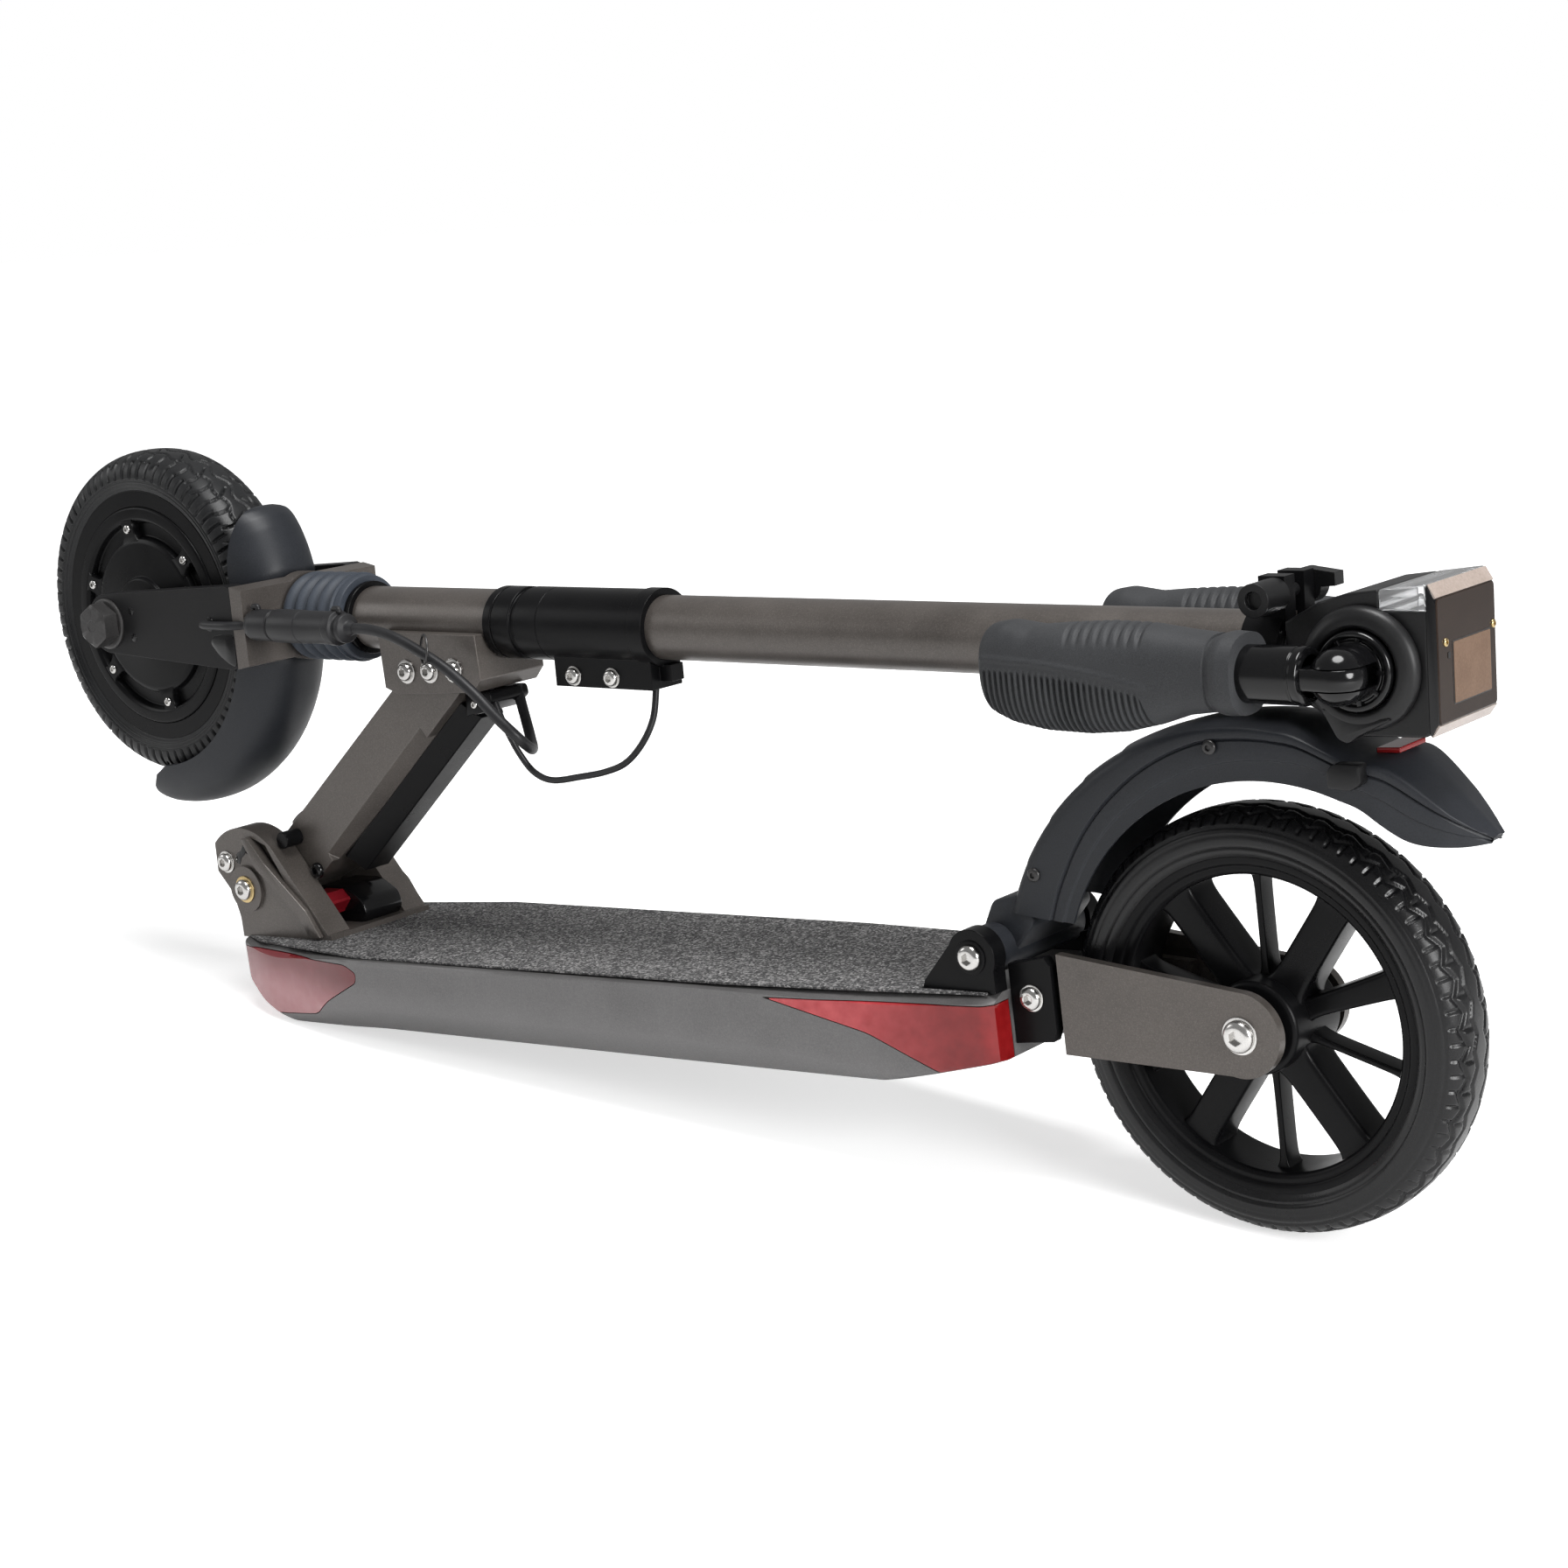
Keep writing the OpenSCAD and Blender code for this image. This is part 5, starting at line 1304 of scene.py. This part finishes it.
def guard_section(t, height, w):
    """one section of the guard, across and up, from the skirt's edge"""
    ledge = LEDGE_RISE * (1 - t / LEDGE_PITCH % 1) if LEDGE_FROM < t < LEDGE_TO else 0.0
    round_off = min(8.0, 0.45 * height)
    lip, band = height * np.interp(t, *LIP), height * np.interp(t, *BAND)
    half = [(-w + 1.8, 0.0, 0.5), (-w + 1.8, lip, 0.3), (-w + 0.8, lip + 0.9, 0.3),
            (-w + 0.8, band - 0.9, 0.3), (-w + 1.7, band, 0.3), (-w, band + 0.9, 0.3),
            (-w, height - round_off * 0.35, round_off),
            (-w + round_off * 1.5, height - 0.4 + ledge * 0.6, round_off),
            (0, height + 0.6 + ledge * 0.6, 8)]
    outer = soft(half + [(-y, z, r) for y, z, r in half[-2::-1]], 0.5, 4)
    wi, hi = w * 0.88, max(height - 2.8, 0.3 * height)
    inner = soft([(wi, 0.0), (wi, hi * 0.7, 6), (wi * 0.6, hi * 0.97, 4), (0, hi, 6),
                  (-wi * 0.6, hi * 0.97, 4), (-wi, hi * 0.7, 6), (-wi, 0.0)], 3, 4)
    return np.concatenate([outer, inner])


rings = []
for k, (o, i) in enumerate(zip(ridge, skirt)):
    height = np.linalg.norm(o - i)
    w = float(smooth_through(0.5 * (o[0] + i[0]), *HALF_WIDE, 16))
    line = guard_section(k / (len(ridge) - 1), height, w)
    xz = i[None, :] + line[:, 1:2] * ((o - i) / height)[None, :]
    rings.append(np.stack([xz[:, 0], line[:, 0], xz[:, 1]], 1))
rear_guard = make("rear_mudguard_shell", *skin(rings), slate, DECK, sharp=42)
settle(rear_guard, "mudguard", ["rear_mudguard"])
print("rear mudguard:", len(rear_guard.data.polygons), "faces")

# %% [markdown]
# The mudguard's neck reaches down to its pivot between the deck's ears, and a small catch
# block hangs at its left side, where the folded head hooks in. Such blocks could be bevelled
# boxes; `slab` draws the outline once, rounds its corners and eases both faces.

# %% Mudguard neck, pivot and catch
boss = soft(both_halves([(5.1, -35.4), (11, -35.4, 0.8), (12, -34.4, 0.8)]), 0.6, 3, True)
pts, faces = turned(boss, "y", 72, centre=(GUARD_PIN_X, 0, GUARD_PIN_Z))
settle(make("mudguard_pivot_boss", pts, faces, slate, DECK), "mudguard", ["rear_mudguard"])


def slab(name, outline, y0, y1, r, ease, mat, at, body, nodes, slot):
    """a flat block with a rounded outline and eased faces"""
    line = soft(outline, r, 4, True)
    mid = line.mean(0)
    size = np.maximum(np.linalg.norm(line - mid, axis=1)[:, None], 1e-6)
    steps = ((0, ease), (ease * 0.3, ease * 0.3), (ease, 0))
    rings = []
    for y, k in [(y0 + d, k) for d, k in steps] + [(y1 - d, k) for d, k in steps[::-1]]:
        p = mid + (line - mid) * (1 - k / size)
        rings.append(np.stack([p[:, 0], np.full(len(p), y), p[:, 1]], 1))
    return settle(make(name, *skin(rings), mat, at), body, nodes)


GUARD = dict(at=DECK, body="mudguard", nodes=["rear_mudguard"], slot="guard_plastic")
slab("mudguard_neck", [(-143, 22), (-134, 40), (-116, 44), (-110, 30), (-126, 12)], -25, 25,
     r=3, ease=2.0, mat=slate, **GUARD)
slab("mudguard_catch", [(55, 98), (55, 106), (59, 109), (71, 108.5), (71, 100), (66, 97)], -33, -25,
     r=1.5, ease=1.2, mat=black_plastic, **GUARD)
print("neck, boss and catch made")

# %% [markdown]
# ## Head front
# The display cover is one glossy cap with sloped rims above and below. The rims' light tan
# is a painted reflection, and so is the brown tint of the face. The screen sits in it behind
# a thin frame, with two small plated screws and a light sensor beside it. Each is a stack of
# rounded rectangles, which keeps the thin steps that a bevel would lose.

# %% Display cover and screen


def frame_ring(y0, y1, h0, h1, s, r):
    """a rounded rectangle that faces along the stem"""
    line = soft([(y0, h0), (y1, h0), (y1, h1), (y0, h1)], r, 4, True)
    return np.stack([np.full(len(line), s), line[:, 0], line[:, 1]], 1)


def face_piece(name, rings, mat, node):
    """a piece of the head's front, made of stacked outlines"""
    body = frame["nodes"][node]["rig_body"]
    return settle(make(name, *skin(rings), mat, STEM, sharp=25), body, [node])


face_piece("display_rim",
           [frame_ring(-28, 28, -30.2, 33.4, 855.4, 2.2), frame_ring(-28, 28, -30.2, 33.4, 856, 2.2),
            frame_ring(-27.4, 27.4, -25.6, 28, 859, 2.2), frame_ring(-27, 27, -25.2, 27.6, 859.2, 2)],
           gloss_black, "display_cover")
# the sloped rims take a painted reflection as their colour
for name, lip in (("display_top_facet", [(856, 33.7), (859.4, 28.1), (858.8, 27.6), (855.6, 32.8)]),
                  ("display_low_facet", [(856, -30.5), (859.4, -25.7), (858.8, -25.2), (855.6, -29.6)])):
    rings = [[(x, y, h) for x, h in lip] for y in (-27.2, -26.8, 26.8, 27.2)]
    face_piece(name, np.array(rings), display_facet_painted_reflection, "display_cover")
# the face: glossy black with a painted brown reflection
face_piece("display_face",
           [frame_ring(-27.2, 27.2, -25.4, 27.8, 858.4, 2.2),
            frame_ring(-27, 27, -25.2, 27.6, 859.5, 2), frame_ring(-26.6, 26.6, -24.8, 27.2, 859.8, 2)],
           display_black_and_painted_reflection, "display_cover")
face_piece("screen_frame",
           [frame_ring(-14.4, 21.6, -18.8, 8.6, 859.2, 1), frame_ring(-14.2, 21.4, -18.6, 8.4, 860, 1)],
           dark_steel, "lcd_panel")
face_piece("screen_glass",
           [frame_ring(-13.7, 20.9, -18.1, 7.9, 859.4, 0.8),
            frame_ring(-13.6, 20.8, -18, 7.8, 860.2, 0.8)], screen, "lcd_panel")
face_piece("light_sensor",
           [frame_ring(-18.6, -16.2, 1.6, 4.2, 859.4, 0.6),
            frame_ring(-18.6, -16.2, 1.6, 4.2, 860, 0.6)], gloss_black, "display_cover")
head_body = frame["nodes"]["display_cover"]["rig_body"]
spots = np.array([(859.8, -20.2, 8.7), (859.8, 24.6, 9.5)]) * MM
screw = button_head("screw_template", 1.9, 0.9, 0.8, brass)
screws = repeated("display_screws", FASTEN, spots, [(1, 0, 0)] * 2, screw, brass)
settle(at_place(screws, STEM), head_body, ["display_cover"])
print("display made")

# %% [markdown]
# ## Thumb levers and folding handles
# Each lever is a domed ring round a boss, with a paddle below. A handle ends in a ball cut
# by two slots: the middle slice belongs to the bar, the outer two to the boss. A sphere cut
# by booleans would do, but slices drawn level by level stay clean.

# %% Levers
HINGE_S, HINGE_H = 826, -2
ring_line = soft([(18, 28.6), (26.8, 28.6, 0.8), (27.2, 30.4, 1.5), (26.2, 33.2, 2), (22.6, 35.6, 2),
                  (19.2, 35.8, 1), (18, 34.6, 0.6)], 0.6, 4, True)


def thumb_lever(side, lever):
    press = frame["nodes"][lever]["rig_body"]
    pts, faces = turned(ring_line * [1, side], "y", 96, centre=(HINGE_S, 0, HINGE_H))
    ring = make(lever + "_ring", pts, faces, black_plastic, STEM, sharp=50)
    settle(ring, press, [lever])
    paddle = [(808.5, -18), (816, -31.6), (821, -33.6), (826, -30), (842, -22), (826, -20)]
    slab(lever + "_paddle", paddle, *sorted((side * 29, side * 35.4)), r=2, ease=1.2,
         mat=black_plastic, at=STEM, body=press, nodes=[lever], slot="black_plastic")


print("lever line:", len(ring_line), "points")

# %% [markdown]
# The boss carries two raised rings and a ring of teeth, and the two outer slices of the
# ball. It is turned, and the teeth are set round by the tree.

# %% Bosses
BAR_Y, BALL, BOSS_FACE, TOOTH_RISE, TEETH = 50, 12.3, 36.2, 1.6, 9
boss_line = soft([
    (0.4, 28), (0.4, BOSS_FACE), (11, BOSS_FACE, 0.3), (11.4, 37.4, 0.4), (13, 37.4, 0.4),
    (13.3, BOSS_FACE, 0.3), (14.4, BOSS_FACE, 0.3), (14.8, 37.8, 0.4), (16.6, 37.8, 0.5),
    (17.3, 36.8, 0.5), (17.3, 28)], 0.4, 3, True)


def ear_points(side, low, high):
    """an outer slice of the ball, joined to the boss"""
    rings = []
    for h in np.linspace(low, high, 15):
        r = math.sqrt(max(BALL ** 2 - h * h, 2.0))
        a = np.linspace(math.pi, 2 * math.pi, 25)
        line = [(-r, 16)] + [(r * math.cos(t), r * math.sin(t)) for t in a] + [(r, 16)]
        rings.append([(HINGE_S + x, side * (BAR_Y - y), h + HINGE_H) for x, y in line])
    return skin(rings)


def tooth():
    line = soft([(-1.1, 0), (1.1, 0), (0.8, TOOTH_RISE), (-0.8, TOOTH_RISE)], 0.3, 2, True)
    rings = [np.stack([np.full(len(line), r), line[:, 1], line[:, 0]], 1) for r in (11.2, 14.6)]
    return make("tooth_template", *skin(rings), gloss_black, HERE)


def handle_boss(side, label):
    body, nodes = frame["nodes"]["handle_clevis"]["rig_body"], ["handle_clevis"]
    pts, faces = turned(boss_line * [1, side], "y", 96, centre=(HINGE_S, 0, HINGE_H))
    boss = make(label + "_boss", pts, faces, gloss_black, STEM, sharp=30)
    settle(boss, body, nodes)
    for part, low, high in (("upper", 5.0, 12.1), ("lower", -12.1, -5.0)):
        ear = make(label + "_ear_" + part, *ear_points(side, low, high), gloss_black, STEM, sharp=50)
        settle(ear, body, nodes)
    turns = [2 * math.pi * k / TEETH for k in range(TEETH)]
    teeth = set_round(label + "_boss_teeth", turns, tooth(), gloss_black)
    seat = side * BOSS_FACE - (TOOTH_RISE if side < 0 else 0)
    teeth.data.transform(Matrix.Translation(Vector((HINGE_S, seat, HINGE_H)) * MM))
    settle(at_place(teeth, STEM), body, nodes)


print("boss line:", len(boss_line), "points")

# %% [markdown]
# The handle is a turned bar with a stepped collar, and its tongue is the middle slice of
# the ball, a little smaller so that it turns between the ears.

# %% Handles on both sides
bar_line = soft([(9, 728), (12.6, 728, 0.5), (12.6, 807.6, 0.3), (12.2, 808, 0.3), (12.2, 808.8, 0.3),
                 (12.8, 809.2, 0.3), (12.8, 812.4, 0.8), (9, 813.6)], 0.5, 3, True)


def folding_handle(side, label):
    body, nodes = label + "_bar", [label + "_handle"]
    pts, faces = turned(bar_line, "x", 72, centre=(0, side * BAR_Y, HINGE_H))
    bar = make(label + "_handle_bar", pts, faces, gloss_black, STEM, sharp=35)
    settle(bar, body, nodes)
    rings = []
    for h in np.concatenate([[-4.6], np.linspace(-4.3, 4.3, 7), [4.6]]):
        r = math.sqrt(BALL ** 2 - h * h) - 0.2 - (0.5 if abs(h) > 4.5 else 0)
        a = np.linspace(-0.5 * math.pi, 0.5 * math.pi, 25)
        line = [(-15, r * 0.86), (-15, -r * 0.86)] + [(r * math.cos(t), r * math.sin(t)) for t in a]
        rings.append([(HINGE_S + x, side * BAR_Y + y, h + HINGE_H) for x, y in line])
    tongue = make(label + "_handle_tongue", *skin(rings), gloss_black, STEM, sharp=50)
    settle(tongue, body, nodes)


for (side, label), lever in zip(SIDES, ("brake_lever", "throttle_lever")):
    thumb_lever(side, lever)
    handle_boss(side, label)
    folding_handle(side, label)
print("levers and handles made")

# %% [markdown]
# ## Small details on the castings
# The fork legs have a scallop where the lead comes out and two small holes; the hinge cheeks
# have a rib and a slot; a black lock cover lies beside the pedal; the leads enter the arm
# through a black outlet, and a thin wire loop holds the motor lead. Cutting them into the
# castings would spoil their eased edges, so shallow slabs lie on the faces instead. The
# scallop, the holes and the slot are glossy black slabs of painted shade, dark where a real
# recess would lie in shadow.

# %% Fork and hinge details
LEG = dict(at=STEM, body="fork", nodes=["fork_legs"], slot="guard_plastic")
CHEEK = dict(at=DECK, body="frame", nodes=["hinge_bracket"])
TRIM = dict(at=DECK, body="front_frame", nodes=["arm_trim"], slot="black_metal")


def pair(name, outline, inner, outer, **how):
    """the same slab on the left and on the right"""
    for side, label in SIDES:
        slab(name + "_" + label, outline, *sorted((side * inner, side * outer)), **how)


def disc(x, z, r):
    """a round outline"""
    turns = np.linspace(0, 2 * math.pi, 20, endpoint=False)
    return [(x + r * math.cos(t), z + r * math.sin(t)) for t in turns]


def from_pin(points):
    """an outline drawn from the fold pin"""
    return [(FOLD_X + x, z) for x, z in points]


# painted shade: black slabs stand for the dark of the scallop and the two holes
scallop = [(96, -9), (99, -5), (108, -3.4), (117.5, -4), (117.5, -23), (111, -21), (102.5, -16)]
pair("leg_scallop", scallop, 51, 52.35, r=3, ease=0.15, mat=gloss_black, **LEG)
for k, h in enumerate((-8, 8)):
    pair("leg_hole_%d" % k, disc(24, h, 2.4), 51, 52.25, r=0.2, ease=0.1, mat=gloss_black, **LEG)
pair("leg_outlet", disc(97, 2, 4.2), 51, 52.5, r=0.2, ease=0.3, mat=gloss_black, **LEG)
rib = [(3, 61), (12.5, 43.5), (46, 16), (53, 2.5), (63, 2.5), (53, 19), (22.5, 46), (9, 62)]
pair("cheek_rib", from_pin(rib), 36.5, 42.0, r=1.5, ease=0.9, mat=paint, slot="frame_paint", **CHEEK)
# painted shade: the slot is a black slab, not a cut
slit = [(2.5, 58), (5.6, 56), (1.6, 50.6), (-1.6, 48.6), (-4, 44.4), (-8, 46.4), (-5.6, 51.4), (-1, 53.4)]
pair("cheek_slot", from_pin(slit), 38, 39.2, r=1.2, ease=0.15, mat=gloss_black, slot="frame_paint",
     **CHEEK)
slab("lock_cover", from_pin([(25, 2.5), (25, 25), (50, 25), (64, 17), (66, 8), (61, 2.5)]), -6.9, 22.9,
     r=3.5, ease=1.6, mat=gloss_black, slot="black_metal", **CHEEK)
slab("cable_outlet", from_pin([(184, 129), (187, 143), (206, 143), (207, 137), (198, 131)]), -15, 15,
     r=2, ease=1.2, mat=satin_black, **TRIM)
slab("trim_seal", from_pin([(63.6, 45), (108, 79.6), (106, 81.5), (62.6, 49)]), -13.6, 13.6,
     r=0.4, ease=0.2, mat=satin_black, **TRIM)
print("fork and hinge details made")

# %% [markdown]
# The wire loop is a thin ring that stands across the motor lead. It is a tube on a circle
# of its own, closed on itself, so it has no ends to cap.

# %% Wire loop
LOOP_AT, LOOP_R, WIRE_R = (FOLD_X + 190, -43.5, 172), 7.6, 0.7
across, upward = np.array([0.57, -0.36, -0.2]), np.array([0.2, 0.1, 0.97])
turns = np.linspace(0, 2 * math.pi, 41)[:, None]
circle = np.cos(turns) * across / np.linalg.norm(across) + np.sin(turns) * upward
loop = np.array(LOOP_AT) + LOOP_R * circle
wire = tube(loop, WIRE_R, 8, (0.6, 0.7, 0.3))[0].reshape(41, 8, 3)[:-1]
lead_loop = make("lead_loop", *skin(wire, loop=True), dark_steel, DECK)
settle(lead_loop, "front_frame", ["flange_bolts"])
print("small details made")

# %% [markdown]
# ## Grips
# Each rubber grip is a swept oval with a palm swell, finger notches on top and a ribbed
# panel on the outer lower side. A displacement texture would blur the ribs, so a dense grid
# takes them as real grooves.

# %% Grips
GRIP_START, GRIP_END, DRAWN_LONG = 651.0, 784.0, 141
TOP = ([0, 1.5, 5, 14, 30, 50, 70, 90, 108, 124, 129, 133, DRAWN_LONG],
       [10, 15, 19, 20.4, 18.4, 20, 21, 20.6, 18.4, 17, 16.8, 18, 17.6])
LOW = ([0, 1.5, 5, 16, 34, 58, 78, 96, 112, 126, 129, 133, DRAWN_LONG],
       [11, 17, 22, 26.2, 29, 29.4, 27.6, 23.6, 18.6, 16.8, 16.8, 18, 17.6])
WIDE = ([0, 1.5, 5, 22, 60, 100, 120, 129, 133, DRAWN_LONG],
        [9, 12.5, 15.4, 16.8, 17, 16.8, 16.4, 16.4, 17.6, 17.2])
OVAL = 2.5
PANEL_FROM, PANEL_TO, RIB_PITCH, RIB_DEEP = 5, 92, 3.35, 2.0
NOTCH_FROM, NOTCH_PITCH, NOTCH_DEEP, NOTCHES = 48, 5.6, 1.2, 8
COLLAR_FROM, COLLAR_TO, COLLAR_DEEP = 126.5, 129.5, 0.8


def blurred(table, d):
    """a grip table read along the grip, slightly smoothed"""
    return np.convolve(np.pad(np.interp(d, *table), 4, "edge"), np.ones(9) / 9, "valid")[:, None]


def grip_relief(side, d, y, h, c, q):
    """how deep the ribs, notches and collar are at each point of the grip"""
    edge = 4.2 - 2.0 * np.clip((6 - d) / 6, 0, 1) ** 2 - 9.0 * (d / PANEL_TO) ** 2.2
    outside = y * side > 0
    panel = outside & (d > PANEL_FROM) & (d < PANEL_TO - 0.25 * (h + 6)) & (h < edge - 4)
    rib = np.clip(1.5 - np.abs(((d - PANEL_FROM) / RIB_PITCH) % 1 - 0.5) * 4.4, 0, 1) * RIB_DEEP
    sink = np.where(panel, rib * np.clip((edge - 4 - h) / 1.6, 0, 1), 0.0)
    ends = np.clip((d - 3) / 2, 0, 1) * np.clip((97 - d) / 3, 0, 1)
    border = np.where(outside, np.exp(-((h - edge - 0.6) / 1.1) ** 2) * ends, 0.0)
    slant = (d - NOTCH_FROM + 3 * c) / NOTCH_PITCH
    notch = np.clip(1 - np.abs(slant % 1 - 0.5) * 3.0, 0, 1) * NOTCH_DEEP * between(slant, 0, NOTCHES)
    collar = np.where(between(d, COLLAR_FROM, COLLAR_TO), COLLAR_DEEP, 0.0)
    return sink - border + notch * np.clip((q - 0.5) * 4, 0, 1) + collar


def grip_points(side):
    """the grid of points of one grip"""
    s = np.linspace(GRIP_START, GRIP_END, 340)
    d = (s - GRIP_START) * DRAWN_LONG / (GRIP_END - GRIP_START)
    a = np.linspace(0, 2 * math.pi, 120, endpoint=False)
    c, q = np.cos(a)[None, :], np.sin(a)[None, :]
    oval = (np.abs(c) ** OVAL + np.abs(q) ** OVAL) ** (-1 / OVAL)
    h = np.where(q >= 0, blurred(TOP, d), blurred(LOW, d)) * q * oval
    y = blurred(WIDE, d) * c * oval
    shrink = 1 - grip_relief(side, d[:, None], y, h, c, q) / np.sqrt(y * y + h * h + 1e-6)
    y, h = y * shrink, h * shrink
    return np.stack([np.broadcast_to(s[:, None], y.shape), y + side * BAR_Y, h + HINGE_H], 2)


for side, label in SIDES:
    ob = make(label + "_grip_ribbed", *skin(grip_points(side)), grip_rubber, STEM, sharp=60)
    settle(ob, label + "_bar", [label + "_grip"])
print("grips made")

# %% [markdown]
# ## Light and floor
# Soft studio light: a dim white room that the camera sees at full white, one large lamp
# above, a strong one behind the scooter and a weak one in front. A plain white floor would
# turn grey further out, so it glows for the camera, more with distance: it reads white but
# keeps the contact shadow.

# %% World, lamps and floor
FLOOR_HALF, FLOOR_Z, FLOOR_GREY, FLOOR_SHEEN = 12, -0.0004, 0.76, 0.3
GLOW_NEAR, GLOW_FAR, GLOW_LOW, GLOW_HIGH = 0.45, 1.6, 0.64, 0.94


def seen_and_mirrored(tree):
    """whether a ray comes from the camera, and whether from a shiny surface"""
    path = tree.nodes.new("ShaderNodeLightPath").outputs
    return math_node(tree, "MAXIMUM", path["Is Camera Ray"],
                     path["Is Transmission Ray"]), path["Is Glossy Ray"]


def white_room(level, sheen):
    world = bpy.data.worlds.new("white_room")
    scene.world = world
    world.use_nodes = True
    tree = world.node_tree
    back = tree.nodes["Background"]
    back.inputs["Color"].default_value = (1, 1, 1, 1)
    seen, mirrored = seen_and_mirrored(tree)
    strength = math_node(tree, "ADD", math_node(tree, "MULTIPLY", seen, 1.0 - level), level)
    extra = math_node(tree, "MULTIPLY", mirrored, sheen - level)
    tree.links.new(math_node(tree, "ADD", strength, extra), back.inputs["Strength"])


def lamp(name, place, aim, size, watts):
    data = bpy.data.lights.new(name, "AREA")
    data.shape, data.size, data.energy = "DISK", size, watts
    ob = bpy.data.objects.new(name, data)
    ob.location = place
    ob.rotation_euler = (Vector(aim) - Vector(place)).to_track_quat("-Z", "Y").to_euler()
    scene.collection.objects.link(ob)


def pale_floor():
    me = bpy.data.meshes.new("pale_floor")
    corners = [(x * FLOOR_HALF, y * FLOOR_HALF, FLOOR_Z) for x, y in ((-1, -1), (1, -1), (1, 1), (-1, 1))]
    me.from_pydata(corners, [], [(0, 1, 2, 3)])
    ob = bpy.data.objects.new("pale_floor", me)
    scene.collection.objects.link(ob)
    mat = bpy.data.materials.new("pale_floor")
    mat.use_nodes = True
    tree = mat.node_tree
    bsdf = tree.nodes["Principled BSDF"]
    bsdf.inputs["Base Color"].default_value = (FLOOR_GREY, FLOOR_GREY, FLOOR_GREY, 1)
    bsdf.inputs["Roughness"].default_value = 0.9
    bsdf.inputs["Specular IOR Level"].default_value = 0.0
    bsdf.inputs["Emission Color"].default_value = (1, 1, 1, 1)
    seen, mirrored = seen_and_mirrored(tree)
    far = tree.nodes.new("ShaderNodeVectorMath")
    far.operation = "LENGTH"
    tree.links.new(tree.nodes.new("ShaderNodeTexCoord").outputs["Object"], far.inputs[0])
    glow = tree.nodes.new("ShaderNodeMapRange")
    glow.inputs["From Min"].default_value, glow.inputs["From Max"].default_value = GLOW_NEAR, GLOW_FAR
    glow.inputs["To Min"].default_value, glow.inputs["To Max"].default_value = GLOW_LOW, GLOW_HIGH
    tree.links.new(far.outputs["Value"], glow.inputs["Value"])
    shown = math_node(tree, "MULTIPLY", seen, glow.outputs["Result"])
    sheen = math_node(tree, "MULTIPLY", mirrored, FLOOR_SHEEN)
    tree.links.new(math_node(tree, "ADD", shown, sheen), bsdf.inputs["Emission Strength"])
    me.materials.append(mat)
    ob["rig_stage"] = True


white_room(level=0.22, sheen=0.32)
lamp("key_lamp", place=(0.4, -0.2, 2.3), aim=(0, 0, 0.1), size=1.2, watts=56)
lamp("rear_lamp", place=(2.1, -0.5, 0.8), aim=(0, 0, 0.12), size=0.9, watts=38)
lamp("front_lamp", place=(-1.7, -0.9, 0.9), aim=(0, 0, 0.15), size=0.9, watts=4)
pale_floor()
scene.view_settings.view_transform = "Standard"
print("room, lamps and floor ready")

# %% [markdown]
# ## Sizes and finish
# The box round the dressed scooter is printed.

# %% Sizes and finish
low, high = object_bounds()
print("visual box", [round(v, 4) for v in (*low, *high)])
